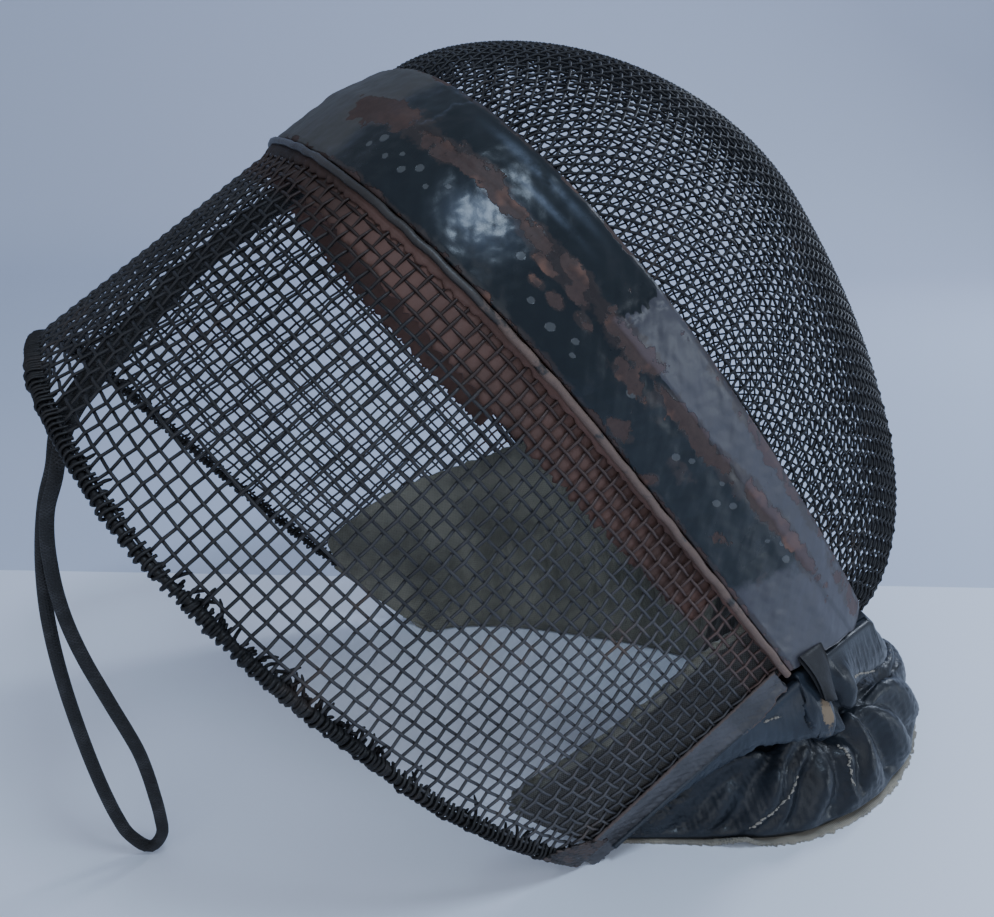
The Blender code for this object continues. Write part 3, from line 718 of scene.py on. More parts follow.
def build_bead(material):
    """The rolled edge along the rear of the band."""
    t = equal_shares(BAND_REAR, 420)
    depth = 1.0 - (BEAD_RADIUS + 2 * CLEAR) / BAND_REAR["forward"] + 0.0016 * ripple(t * 20, 0.0, 8)
    centres = to_floor(wall_point(t, depth, BAND_WALL / 2 - BEAD_RADIUS))
    normals = turned(wall_point(t, depth, -0.01) - wall_point(t, depth, 0.0))
    radius = BEAD_RADIUS * (1 + 0.06 * ripple(t * 50, 0.0, 9))
    verts, quads, owner = tubes(centres[None], normals[None], radius[None], 10)
    worn = 0.20 + 0.45 * soft_step(np.abs(t), 0.25, 0.60)
    bead = mesh_piece("rolled_edge", verts, quads, material, {"worn": worn[owner]})
    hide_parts("band_bead")


# Leather inside the net behind the band, and its turn over the net outside just behind the
# bead: their widths at arch shares from crown to jaw.
STRIP_SHARES = (0.0, 0.10, 0.22, 0.35, 0.48, 0.65, 0.85)
STRIP_WIDTHS = (0.0115, 0.0125, 0.0155, 0.0185, 0.0205, 0.0195, 0.0170)
# Wires at each jaw that the strip leaves free, and how deep it lies under the band.
STRIP_FREE = 9
STRIP_SUNK = 0.0013
COVER_SHARES = (0.0, 0.30, 0.55, 0.80, 1.0)
COVER_WIDTHS = (0.0058, 0.0046, 0.0034, 0.0026, 0.0022)
COVER_WALL = 0.0005


def build_lining_strip(material):
    """The red-brown leather inside the net behind the band, with the net pressed into it."""
    last = SIDE_WIRES - 1 - STRIP_FREE
    lanes = np.linspace(STRIP_FREE, last, (last - STRIP_FREE) * 4 + 1)
    wire, along = np.meshgrid(lanes, np.linspace(0.0, 1.0, 44), indexing="ij")
    share = np.abs(wire / (SIDE_WIRES - 1) * 2 - 1)
    far_side = soft_step(wire, 0.48 * SIDE_WIRES, 0.56 * SIDE_WIRES)
    wide = np.interp(share, STRIP_SHARES, STRIP_WIDTHS) * (1.06 - 0.45 * far_side)
    ragged = 0.0011 * ripple(wire * 0.9, 0.0, 31) * (1 - along) ** 4
    rear = 1.0 - (wide - ragged) / BAND_REAR["forward"]
    depth = rear + (1.0 + LINING_REACH - rear) * along
    points, normals = side_grid(wire, depth)
    pressed = np.abs(np.sin(pi * wire) * np.sin(pi * (depth * CROSSINGS - FIRST_CROSSING)))
    sunk = 0.00023 - 0.00045 * pressed + 0.0010 * soft_step(share, 0.30, 0.75) * (1 - 0.6 * along ** 2)
    sunk = np.where(depth > 1.0, STRIP_SUNK, sunk)
    points = points - normals * (sunk + LINING_WALL / 4)[..., None]
    verts, quads = solid_sheet(to_floor(points), LINING_WALL / 2)
    values = {"arch": both_faces(share)}
    inside = mesh_piece("leather_strip", verts, quads, material, values)
    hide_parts("band_lining")


def build_lining_turn(material):
    """The edge of the same leather, turned over the net on the outside."""
    t, along = np.meshgrid(np.linspace(-0.995, 0.995, 420), np.linspace(0.0, 1.0, 14), indexing="ij")
    wide = np.interp(np.abs(t), COVER_SHARES, COVER_WIDTHS) * (1 + 0.18 * ripple(t * 55, 0.0, 33))
    depth = 1.0 - (wide * along + BEAD_RADIUS) / BAND_REAR["forward"]
    pitch = SIDE_PITCH / BAND_REAR["forward"]
    cells = np.cos(depth / pitch * 2 * pi) * np.cos(t * SIDE_WIRES * pi)
    lift = 0.00010 * cells * soft_step(along, 0.3, 0.8) + 0.00012 * ripple(t * 70, along * 5, 34)
    points = to_floor(wall_point(t, depth, 0.00010 - lift + 0.0012 * along ** 4))
    verts, quads = solid_sheet(points, COVER_WALL * (1 - 0.6 * along ** 2))
    values = {"arch": both_faces(np.abs(t))}
    cover = mesh_piece("leather_turn", verts, quads, material, values)


# The strips, in depth and in arch share over and past the net's edge.
JAW_ENDS = (0.02, 0.955)
JAW_OVER, JAW_PAST = 0.015, 0.023


def build_jaw_strips(material):
    """Strips that bind the lower edges of the side net."""
    edge = np.linspace(1.0 - JAW_OVER, 1.0 + JAW_PAST, 21)
    along, across = np.meshgrid(np.linspace(*JAW_ENDS, 160), edge, indexing="ij")
    drawn_in = 0.011 * soft_step(along, 0.80, JAW_ENDS[1]) * soft_step(across, 0.99, edge[-1])
    flare = 0.0016 * soft_step(across, 1.008, edge[-1])
    rim = np.minimum(across - edge[0], edge[-1] - across)
    for name, side, seed in (("strip_near", -1.0, 41), ("strip_far", 1.0, 42)):
        dents = 0.00022 * ripple(along * 40, across * 90, seed) - flare
        ragged = 0.0016 * ripple(along * 22, 0.0, seed + 3) * soft_step(across, 1.0, edge[-1])
        place = side * (across + ragged - drawn_in)
        points = to_floor(wall_point(place, along, BAND_WALL / 2 - STRIP_WALL / 2 + dents))
        verts, quads = solid_sheet(points, np.where(rim < 0.001, STRIP_WALL * 0.6, STRIP_WALL))
        worn = both_faces(np.exp(-(rim / 0.0028) ** 2))
        strip = mesh_piece("binding_" + name, verts, quads, material, {"worn": worn})
        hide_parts("jaw_" + name)


# Linings and bib.

# The bib's table and roll are the part's own: a row for each section of one half, from the
# rim corner round to the front.
BIB_COLUMNS = ("hem", "outer_x", "outer_y", "inner_x", "inner_y", "roll")
BIB_ROWS = (
    (0.06, -0.003, 0.0955, -0.013, 0.0860, 0.006),
    (0.20, 0.017, 0.1045, 0.005, 0.0850, 0.016),
    (0.34, 0.041, 0.1155, 0.027, 0.0750, 0.027),
    (0.45, 0.067, 0.1230, 0.045, 0.0630, 0.033),
    (0.54, 0.102, 0.1180, 0.061, 0.0500, 0.033),
    (0.62, 0.136, 0.1005, 0.077, 0.0370, 0.030),
    (0.75, 0.164, 0.0735, 0.090, 0.0230, 0.026),
    (0.88, 0.179, 0.0390, 0.098, 0.0110, 0.023),
    (1.00, 0.1835, 0.0, 0.101, 0.0, 0.023),
)
HEM_BAND_REAR = 0.45
HEM_BAND_FRONT = 0.62
PAD_TOP_HALF = 0.0020
PAD_DROP_STRIP = 0.0056
PAD_DROP_EDGE = 0.0030
LINING_STANDOFF = 0.0038
LINING_LIFT = 0.0009
ROLL_PROFILE = ((0.84, 0.84), (0.66, 1.00), (0.44, 1.00), (0.22, 0.78), (0.06, 0.42), (0.0, 0.12))
ROLL_TUCK = 0.10
FLAP_BULGE = 0.20
FRONT_BULGE = -0.12
FRONT_OUT = 0.0020
FRONT_UP = 0.0100
CHIN_LINING = 0.012
UNDER_ROWS = 5
CHIN_LINING_DEPTH = 0.70

# Upper edge of the cheek lining, as depth towards the band and height above the jaw.
CHEEK_NEAR = ((0.0, 0.032), (0.06, 0.047), (0.12, 0.056), (0.25, 0.051), (0.41, 0.043),
              (0.60, 0.037), (0.76, 0.035), (1.0, 0.030))
CHEEK_FAR = ((0.0, 0.044), (0.05, 0.058), (0.14, 0.059), (0.27, 0.059), (0.47, 0.055),
             (0.64, 0.046), (0.82, 0.035), (1.0, 0.024))

# Folds of the bib on the half that is seen, from the neck down to the edge: both ends as shares
# along the bib and down its outer face, then width and depth in metres.
FOLDS = table(
    ("along_top", "down_top", "along_foot", "down_foot", "width", "depth"),
    (0.395, 0.60, 0.275, 0.99, 0.0026, 0.0030),
    (0.500, 0.50, 0.480, 0.86, 0.0026, 0.0034),
    (0.610, 0.42, 0.790, 0.62, 0.0026, 0.0018),
    (0.440, 0.52, 0.345, 0.96, 0.0050, 0.0060),
    (0.350, 0.56, 0.215, 0.94, 0.0050, 0.0045),
    (0.280, 0.60, 0.135, 0.90, 0.0045, 0.0030),
    (0.470, 0.50, 0.420, 0.97, 0.0050, 0.0055),
    (0.530, 0.46, 0.560, 0.94, 0.0055, 0.0060),
    (0.590, 0.50, 0.680, 0.95, 0.0055, 0.0045),
    (0.700, 0.50, 0.790, 0.95, 0.0055, 0.0040),
    (0.860, 0.50, 0.880, 0.95, 0.0055, 0.0040),
    (0.180, 0.43, 0.480, 0.43, 0.0048, 0.0078),
    (0.480, 0.58, 0.450, 0.15, 0.0055, 0.0100),
    (0.452, 0.17, 0.432, 0.04, 0.0040, 0.0060),
    (0.260, 0.11, 0.330, 0.14, 0.0020, 0.0008),
    (0.150, 0.80, 0.190, 0.70, 0.0030, 0.0010),
)
# The bib's outer face, from the rim corner to the front and from the neck to the floor.
BIB_LENGTH = 0.27
BIB_FACE = 0.085
FOLD_DEEPEST = 0.0105
# Places on the face, as shares: the middle of the puffed lobe of the flap, and the torn spot.
LOBE_ALONG, LOBE_DOWN, LOBE_HEIGHT = 0.385, 0.20, 0.0070
TEAR_ALONG, TEAR_DOWN = 0.397, 0.100
GATHERS = 12


def bib_sections(along):
    """The bib's table at an array of along, 0 at the rim corner and 1 in front, as its hem and
    roll, its outer and inner points on the floor, and the direction between them."""
    rows = np.array(BIB_ROWS)
    last = len(rows) - 1
    place = along * last
    row = np.minimum(place.astype(int), last - 1)
    around = (rows[np.clip(row + step, 0, last)] for step in (-1, 0, 1, 2))
    values = catmull_rom(*around, (place - row)[:, None])
    row = dict(zip(BIB_COLUMNS, values.T))
    outer = np.stack((row["outer_x"], row["outer_y"], along * 0), -1)
    inner = np.stack((row["inner_x"], row["inner_y"], along * 0), -1)
    return row["hem"], row["roll"], outer, inner, unit(outer - inner)


def hem_point(hem, outset):
    """Lower edge of the mask on the far side: jaw, then band end, then chin, by hem 0 to 1."""
    share = np.clip((hem - HEM_BAND_REAR) / (HEM_BAND_FRONT - HEM_BAND_REAR), 0.0, 1.0)
    depth = np.where(hem < HEM_BAND_REAR, hem / HEM_BAND_REAR, 1.0 + share)
    jaw = wall_point(np.ones_like(hem), depth) + np.array((0.0, outset, 0.0))
    way = 1 - (hem - HEM_BAND_FRONT) / (1 - HEM_BAND_FRONT)
    return np.where((hem < HEM_BAND_FRONT)[..., None], jaw, chin_point(np.clip(way, 0.0, 1.0), -outset))


def spline_rows(points, steps):
    """A smooth curve through points (sections, n, 3), with steps between each two of them."""
    first, last = 2 * points[:, :1] - points[:, 1:2], 2 * points[:, -1:] - points[:, -2:-1]
    ends = np.concatenate((first, points, last), 1)
    around = ends[:, :-3], ends[:, 1:-2], ends[:, 2:-1], ends[:, 3:]
    rows = [catmull_rom(*around, number / steps) for number in range(steps)]
    joined = np.stack(rows, 2).reshape(points.shape[0], -1, 3)
    return np.concatenate((joined, points[:, -1:]), 1)


def fold_field(along, down, side):
    """How deep the folds are at places on the bib's outer face."""
    depth = np.zeros(along.shape)
    for number, fold in enumerate(FOLDS):
        shift = 0.0 if side < 0 else 0.02 * sin(number * 2.1)
        head = np.array(((fold["along_top"] + shift) * BIB_LENGTH, fold["down_top"] * BIB_FACE))
        foot = np.array(((fold["along_foot"] + shift) * BIB_LENGTH, fold["down_foot"] * BIB_FACE))
        way = foot - head
        length = np.hypot(*way)
        x, y = along * BIB_LENGTH - head[0], down * BIB_FACE - head[1]
        share = (x * way[0] + y * way[1]) / length ** 2
        across = (x * way[1] - y * way[0]) / length
        across = across + 0.0012 * np.sin(share * 7 + number)
        beyond = (share - np.clip(share, 0.0, 1.0)) * length
        fade = np.exp(-(beyond / (2 * fold["width"])) ** 2) * (0.45 + 0.55 * np.clip(1.25 - share, 0.0, 1.0))
        cut = np.exp(-(across / fold["width"]) ** 2)
        swell = np.exp(-((np.abs(across) - 2.2 * fold["width"]) / (1.2 * fold["width"])) ** 2)
        depth += fold["depth"] * fade * (cut - 0.30 * swell)
    return depth


def pad_half(side, count=380):
    """One half of the bib as a grid of points, outer face first, with its tears and its painted shade."""
    along = np.linspace(0.0, 1.0, count)
    hem, roll, outer, inner, outwards = bib_sections(along)
    roll = roll[:, None]
    drop = np.where(hem < HEM_BAND_REAR, PAD_DROP_STRIP, PAD_DROP_EDGE)
    lower = np.stack((drop * 0, drop * 0, -drop), -1)
    top_out = to_floor(hem_point(hem, PAD_TOP_HALF) + lower)
    top_in = to_floor(hem_point(hem, -PAD_TOP_HALF / 2) + lower)
    base = np.array((0.0, 0.0, BACKING_WALL + CLEAR))
    up = np.array((0.0, 0.0, 1.0))
    rolls = [outer - outwards * inwards * roll + base + up * high * roll for inwards, high in ROLL_PROFILE]
    flap = rolls[0] - top_out
    full = soft_step(along, 0.45, 0.58)[:, None]
    puffed = FLAP_BULGE + 0.07 * soft_step(along, 0.15, 0.35)[:, None] + FRONT_BULGE * full
    bulge = top_out + flap * 0.5 + outwards * puffed * np.linalg.norm(flap, axis=-1, keepdims=True)
    rolls[0] = rolls[0] + (outwards * FRONT_OUT + up * FRONT_UP) * full
    face = spline_rows(np.stack([top_out, bulge] + rolls, 1), 12)
    down = np.broadcast_to(np.linspace(0.0, 1.0, face.shape[1]), face.shape[:2])
    place = np.broadcast_to(along[:, None], face.shape[:2])
    normals = grid_normals(face)
    centre = (outer + inner)[:, None] / 2
    normals = np.where(np.sum(normals * (face - centre), -1, keepdims=True) < 0, -normals, normals)
    creases = 0.0002 * ripple(place * 50, down * 12, 51) + 0.00006 * ripple(place * 160, down * 40, 52)
    lobe = ((place - LOBE_ALONG) / 0.075) ** 2 + ((down - LOBE_DOWN) / 0.15) ** 2
    creases = creases + LOBE_HEIGHT * np.exp(-lobe) * (1.0 if side < 0 else 0.4)
    gathers = 0.0004 * np.sin((place - 0.16 * down) * 2 * pi * GATHERS + 1.0) * soft_step(down, 0.35, 0.6)
    ends = soft_step(place, 0.0, 0.08) * soft_step(down, 0.0, 0.06) * (1 - soft_step(down, 0.93, 1.0) * 0.7)
    raised = (creases - gathers - np.minimum(fold_field(place, down, side), FOLD_DEEPEST)) * ends
    face = face + normals * raised[..., None]
    face[..., 2] = np.maximum(face[..., 2], BACKING_WALL + CLEAR)
    tear = ((place - TEAR_ALONG) * BIB_LENGTH / 0.0034) ** 2 + ((down - TEAR_DOWN) * BIB_FACE / 0.0036) ** 2
    torn = np.exp(-tear) if side < 0 else np.zeros(place.shape)
    tuck = outer - outwards * ROLL_TUCK * roll + base
    under = np.stack((tuck, (outer + inner) / 2 + base, inner + base, (inner + top_in) / 2, top_in), 1)
    grid = np.concatenate((face, under), 1)
    grid[..., 1] *= side
    spare = np.zeros((count, under.shape[1]))
    # Painted shade: the roll, low on the face, and the front of the bib are marked to be darkened.
    shaded = np.maximum(down, soft_step(place, 0.43, 0.49))
    return grid, np.concatenate((torn, spare), 1), np.concatenate((shaded, spare + 1.0), 1)


def build_bib(material):
    """The padded leather bib: a gathered roll on the floor with a puffed flap up to the jaw."""
    # The down mark carries the bib's painted shade, on its roll and its front, to its material.
    grid, torn, down = (np.concatenate((near, far[-2::-1])) for near, far in zip(pad_half(-1), pad_half(1)))
    rows, columns = grid.shape[:2]
    j = np.arange(columns // 2 - 1)
    cap = np.stack((j, j + 1, columns - 2 - j, columns - 1 - j), -1)
    sides = grid_quads(rows, columns, closed=True)
    quads = np.concatenate((sides, cap[:, ::-1], cap + (rows - 1) * columns))
    bib = mesh_piece("leather_bib", grid.reshape(-1, 3), quads, material,
                     {"torn": torn, "down": down})
    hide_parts("bib_pad")


def on_grid(grid, rows, columns):
    """Points of a grid at shares of its rows and columns."""
    last_row, last_column = grid.shape[0] - 1, grid.shape[1] - 1
    i, j = np.asarray(rows) * last_row, np.asarray(columns) * last_column
    a, b = np.minimum(i.astype(int), last_row - 1), np.minimum(j.astype(int), last_column - 1)
    u, v = (i - a)[..., None], (j - b)[..., None]
    here = grid[a, b] * (1 - u) + grid[a + 1, b] * u
    ahead = grid[a, b + 1] * (1 - u) + grid[a + 1, b + 1] * u
    return here * (1 - v) + ahead * v


def bib_face():
    """The near half's outer face and the normals on it."""
    face = pad_half(-1)[0][:, :-UNDER_ROWS]
    normals = grid_normals(face)
    return face, np.where(normals[..., 1:2] > 0, -normals, normals)


# Worn seams on the near half of the bib, and one short pale line of painted highlight on the flap's lobe:
# points as shares along it and down its face.
SEAMS = (
    ((0.372, 0.73), (0.351, 0.79), (0.325, 0.84), (0.290, 0.88), (0.266, 0.94)),
    ((0.467, 0.66), (0.469, 0.71), (0.462, 0.77), (0.462, 0.86)),
    # The third line is no seam but a painted highlight on the lobe of the flap.
    ((0.285, 0.030), (0.300, 0.036), (0.322, 0.048)),
    ((0.509, 0.095), (0.560, 0.12), (0.610, 0.16), (0.680, 0.30)),
)
THREAD_RADIUS = 0.00030
THREAD_LIMITS = (0.00004, 0.0006)


def build_seams(material):
    """Pale thread where the seams of the bib are worn, broken here and there, and a short pale line of
    painted highlight.
    """
    face, normals = bib_face()
    for number, seam in enumerate(SEAMS):
        knots = np.array(seam)
        share = np.linspace(0.0, len(knots) - 1.0, 30 * len(knots))
        along, down = (np.interp(share, np.arange(len(knots)), knots[:, k]) for k in (0, 1))
        along = along + 0.0022 * ripple(share * 2.2, 0.0, 80 + number)
        radius = np.clip(THREAD_RADIUS + 0.00036 * ripple(share * 4.0, 0.0, 90 + number), *THREAD_LIMITS)
        outwards = on_grid(normals, along, down)
        centres = on_grid(face, along, down) + outwards * 0.0001
        verts, quads, _ = tubes(centres[None], outwards[None], radius[None], 6)
        mesh_piece("pale_line_%d" % (number + 1), verts, quads, material)


# The strap: the arch share and depths of its top on the band, and its foot on the bib's face.
STRAP_T = -0.985
STRAP_TOP = 1.13
STRAP_WIDE = 0.26
STRAP_FOOT_ALONG, STRAP_FOOT_DOWN = 0.393, 0.070
STRAP_WALL = 0.0018


def build_strap(material):
    """The short black strap from the near end of the band down to the bib."""
    face, normals = bib_face()
    across, along = np.meshgrid(np.linspace(0.0, 1.0, 9), np.linspace(0.0, 1.0, 14), indexing="ij")
    top = to_floor(wall_point(STRAP_T, STRAP_TOP + STRAP_WIDE * across, -0.0022))
    place = STRAP_FOOT_ALONG + 0.036 * across, STRAP_FOOT_DOWN + 0.030 * across
    outwards = on_grid(normals, *place)
    foot = on_grid(face, *place) + outwards * 0.0016
    swell = np.sin(pi * along) * (0.0012 + 0.0006 * np.cos(2 * pi * across))
    points = between(top, foot, along) + outwards * swell[..., None]
    verts, quads = solid_sheet(points, STRAP_WALL)
    mesh_piece("bib_strap", verts, quads, material)


# The corner plate: its width at the rim, its ends in depth, and its wall.
CORNER_WIDE = 0.062
CORNER_DEPTH = 0.150
CORNER_WALL = 0.0009


def build_corner(material):
    """The rusted plate over the net's near lower corner, at the rim."""
    along, across = np.meshgrid(np.linspace(0.0, 1.0, 40), np.linspace(0.0, 1.0, 24), indexing="ij")
    reach = CORNER_WIDE * (1 - along ** 1.5) + 0.003 * ripple(along * 9, 0.0, 95) + 0.004
    dents = 0.00018 * ripple(along * 7, across * 6, 96)
    points = to_floor(wall_point(reach * across - 1.004, CORNER_DEPTH * along - 0.012, dents - 0.0002))
    verts, quads = solid_sheet(points, CORNER_WALL)
    worn = 0.55 + 0.3 * ripple(along * 6, across * 6, 97)
    mesh_piece("corner_plate", verts, quads, material, {"worn": both_faces(worn)})


# Points across the backing, and how its edge is lifted at one place on the near side.
BACKING_SHARES = np.array((0.0, 0.25, 0.5, 0.75, 0.88, 0.95, 0.98, 1.0))
LIFTED_ALONG = 0.245
LIFTED_HEIGHT = 0.0042


def build_backing(material):
    """The canvas under the bib, ragged at its edge and lifted at one place."""
    along = np.linspace(0.0, 1.0, 260)
    halves = []
    for side, seed in ((-1, 61), (1, 62)):
        _, _, outer, inner, outwards = bib_sections(along)
        waves, frays = ripple(along * 90, 0.0, seed), ripple(along * 420, 0.0, seed + 5)
        ragged = 0.0004 + 0.0006 * waves + 0.0003 * frays
        lifted = np.exp(-((along - LIFTED_ALONG) / 0.028) ** 2) * (side < 0)
        outer = outer + outwards * (ragged + 0.0022 * lifted)[:, None]
        half = between(inner[:, None], outer[:, None], BACKING_SHARES[None])
        half[..., 2] += BACKING_WALL / 2 + lifted[:, None] * BACKING_SHARES ** 12 * LIFTED_HEIGHT
        half[..., 1] *= side
        halves.append(half)
    verts, quads = solid_sheet(np.concatenate((halves[0], halves[1][-2::-1])), BACKING_WALL)
    backing = mesh_piece("canvas_backing", verts, quads, material)
    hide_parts("bib_backing")


LINING_INSET = BAND_WALL / 2 + 4 * CLEAR + NET_WALL + LINING_WALL / 2
# Where the cheek lining starts at the rim, as hem, on the near and the far side.
HEM_LINING_NEAR, HEM_LINING_FAR = 0.035, -0.008


def lining_half(side, count=120):
    """One half of the lining: up the cheek or chin, then down inside the bib to the floor."""
    along = np.linspace(0.0, 1.0, count)
    hem, _, _, inner, outwards = bib_sections(along)
    near = side < 0
    hem = np.interp(hem, (0.06, 0.20, 1.0), (HEM_LINING_NEAR if near else HEM_LINING_FAR, 0.20, 1.0))
    foot = inner + np.array((0.0, 0.0, LINING_LIFT)) - outwards * LINING_STANDOFF
    share = np.linspace(1.0, 0.0, 14)
    past = np.clip((hem - HEM_BAND_REAR) / (HEM_BAND_FRONT - HEM_BAND_REAR), 0.0, 1.0)
    depth = np.where(hem < HEM_BAND_REAR, hem / HEM_BAND_REAR, 1.0 + CHIN_LINING_DEPTH * past)
    edge = np.array(CHEEK_NEAR if near else CHEEK_FAR)
    height = np.interp(depth, edge[:, 0], edge[:, 1]) + 0.0010 * ripple(along * 70, 0.0, 71 + side)
    inset = LINING_INSET + RIM_TUBE * soft_step(depth, 0.10, 0.02)[:, None]
    rise = height / (RIM["shoulder"] * RIM["height"]) * (1 - ARCH_SHARE)
    cheek = wall_point(1.0 - rise[:, None] * share, depth[:, None], inset)
    way = np.clip(1 - (hem - HEM_BAND_FRONT) / (1 - HEM_BAND_FRONT), 0.0, 1.0)
    back = (arch_point(BAND_FRONT, 1.0) - arch_point(BAND_REAR, 1.0))[0]
    chin = chin_point(way, LINING_INSET) - np.array((back * (1 - CHIN_LINING_DEPTH), 0.0, 0.0))
    fade = edge[-1, 1] + (CHIN_LINING - edge[-1, 1]) * np.cos(way * pi / 2)
    chin = chin[:, None] + np.array((0.0, 0.0, 1.0)) * (fade[:, None] * share)[..., None]
    upper = to_floor(np.where((hem < HEM_BAND_FRONT)[:, None, None], cheek, chin))
    fall = between(upper[:, -1:], foot[:, None], np.linspace(0.0, 1.0, 13)[None, 1:])
    grid = np.concatenate((upper, fall), 1)
    grid[..., 1] *= side
    return grid


def build_lining(material):
    """Canvas inside the cheeks and chin, which goes on down inside the bib."""
    near, far = lining_half(-1), lining_half(1)
    grid = np.concatenate((near, far[-2::-1]))
    rows, columns = np.indices(grid.shape[:2])
    hang = soft_step(columns, 13.0, 18.0) * (1 - soft_step(columns, 20.0, 25.0))
    slack = hang * 0.0016 * ripple(rows * 0.16, columns * 0.05, 72)
    verts, quads = solid_sheet(grid + grid_normals(grid) * slack[..., None], LINING_WALL)
    shaded = both_faces(soft_step(columns, 0.8, 2.6) * (rows < len(near)))
    lining = mesh_piece("canvas_lining", verts, quads, material, {"shaded": shaded})
    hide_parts("chin_lining")


TAB_ACROSS = (-0.036, -0.094)
TAB_ALONG = (0.925, 1.0)
TAB_THROUGH = (0.0050, 0.0100)


def build_tab(material):
    """The leather tab inside the crown, thin at its edges, that holds the cord."""
    t, depth = np.meshgrid(np.linspace(*TAB_ACROSS, 16), np.linspace(*TAB_ALONG, 12), indexing="ij")
    i, j = np.indices(t.shape)
    rim = np.minimum(np.minimum(i, 15 - i), np.minimum(j, 11 - j))
    wall = (TAB_THROUGH[1] - TAB_THROUGH[0]) * np.where(rim == 0, 0.6, np.where(rim == 1, 0.9, 1.0))
    verts, quads = solid_sheet(to_floor(wall_point(t, depth, sum(TAB_THROUGH) / 2)), wall)
    tab = mesh_piece("leather_tab", verts, quads, material)
    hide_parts("cord_tab")


# Cord.

def smooth_route(controls, step):
    """Points a step apart along a smooth curve through the controls."""
    points = [Vector(point) for point in controls]
    ends = [2 * points[0] - points[1]] + points + [2 * points[-1] - points[-2]]
    fine = []
    for i in range(1, len(ends) - 2):
        fine += [catmull_rom(*ends[i - 1:i + 3], number / 12) for number in range(12)]
    fine.append(points[-1])
    lengths = [(b - a).length for a, b in zip(fine, fine[1:])]
    count = round(sum(lengths) / step)
    spacing = sum(lengths) / count
    route = [fine[0]]
    travelled = 0.0
    for (a, b), length in zip(zip(fine, fine[1:]), lengths):
        while len(route) < count and travelled + length >= spacing * len(route):
            route.append(a.lerp(b, (spacing * len(route) - travelled) / length))
        travelled += length
    route.append(fine[-1])
    return route


def build_cord(material):
    """The elastic loop: out of the crown, down to the floor and back, beside itself."""
    rows = np.array(CORD_ALONG_CROWN)
    out, home = (to_floor(wall_point(rows[:, 0] + beside, rows[:, 1], rows[:, 2])).tolist()
                 for beside in (0.0, CORD_BESIDE))
    route = smooth_route(out + list(CORD_HANGING) + home[::-1], CORD_STEP)
    centres = np.array([tuple(point) for point in smooth_route(route, CORD_STEP / 5)])[None]
    facing = np.broadcast_to((0.35, -0.9, 0.1), centres.shape)
    verts, quads, _ = tubes(centres, facing, CORD_RADIUS, 14)
    cord = mesh_piece("elastic_loop", verts, quads, material)
    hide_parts("elastic_cord")


# Materials.

class Nodes:
    """A material and its nodes. What goes into a node is a number, a colour or another's output."""

    def __init__(self, name, roughness=0.6, metallic=0.0):
        self.material = bpy.data.materials.new(name)
        self.material.use_nodes = True
        self.tree = self.material.node_tree
        self.inputs = self.tree.nodes["Principled BSDF"].inputs
        self.inputs["Roughness"].default_value = roughness
        self.inputs["Metallic"].default_value = metallic

    def put(self, kind, out=0, sockets=None, **settings):
        """Adds a node and gives back one of its outputs."""
        node = self.tree.nodes.new(kind)
        for key, value in settings.items():
            setattr(node, key, value)
        for key, value in (sockets or {}).items():
            if isinstance(value, bpy.types.NodeSocket):
                self.tree.links.new(value, node.inputs[key])
            else:
                node.inputs[key].default_value = value
        return node.outputs[out]

    def feed(self, name, value):
        self.tree.links.new(value, self.inputs[name])

    @cached_property
    def coords(self):
        return self.put("ShaderNodeTexCoord", "Object")

    def attribute(self, name):
        return self.put("ShaderNodeAttribute", "Fac", attribute_name=name)

    def noise(self, scale, detail=4.0, rough=0.6):
        sockets = {"Vector": self.coords, "Scale": scale, "Detail": detail, "Roughness": rough}
        return self.put("ShaderNodeTexNoise", "Fac", sockets)

    def math(self, operation, *values):
        return self.put("ShaderNodeMath", 0, dict(enumerate(values)), operation=operation)

    def times(self, first, second):
        return self.math("MULTIPLY", first, second)

    def times_plus(self, first, second, third):
        return self.math("MULTIPLY_ADD", first, second, third)

    def far_from(self, value, middle):
        return self.math("ABSOLUTE", self.math("SUBTRACT", value, middle))

    def shade(self, colour, factor):
        return self.put("ShaderNodeVectorMath", 0, {0: colour, 1: factor}, operation="MULTIPLY")

    def mix(self, share, first, second):
        """One colour turning into another."""
        sockets = {0: share}
        for index, colour in ((6, first), (7, second)):
            sockets[index] = colour if isinstance(colour, bpy.types.NodeSocket) else (*colour, 1.0)
        return self.put("ShaderNodeMix", 2, sockets, data_type="RGBA")

    def ramp(self, factor, *stops):
        """A colour ramp through stops of a place and a colour."""
        colour = self.put("ShaderNodeValToRGB", "Color", {"Fac": factor})
        elements = colour.node.color_ramp.elements
        while len(elements) < len(stops):
            elements.new(0.5)
        for element, (place, tone) in zip(elements, stops):
            element.position = place
            element.color = (*tone, 1.0)
        return colour

    def rise(self, value, low, high, to_low=0.0, to_high=1.0):
        """A value going smoothly from to_low, where it is low, to to_high."""
        sockets = {"Value": value, "From Min": low, "From Max": high, "To Min": to_low, "To Max": to_high}
        return self.put("ShaderNodeMapRange", 0, sockets, interpolation_type="SMOOTHSTEP")

    def ragged(self, value, low, high, coarse=75.0, fine=340.0, reach=1.0):
        """A soft value cut to 0 or 1 along a ragged line."""
        value = self.times_plus(self.noise(coarse, 5.0), reach, value)
        value = self.times_plus(self.noise(fine, 4.0), reach * 0.4, value)
        return self.rise(self.math("SUBTRACT", value, reach * 0.7), low, high)

    def bump(self, height, strength, distance):
        sockets = {"Height": height, "Strength": strength, "Distance": distance}
        self.feed("Normal", self.put("ShaderNodeBump", 0, sockets))


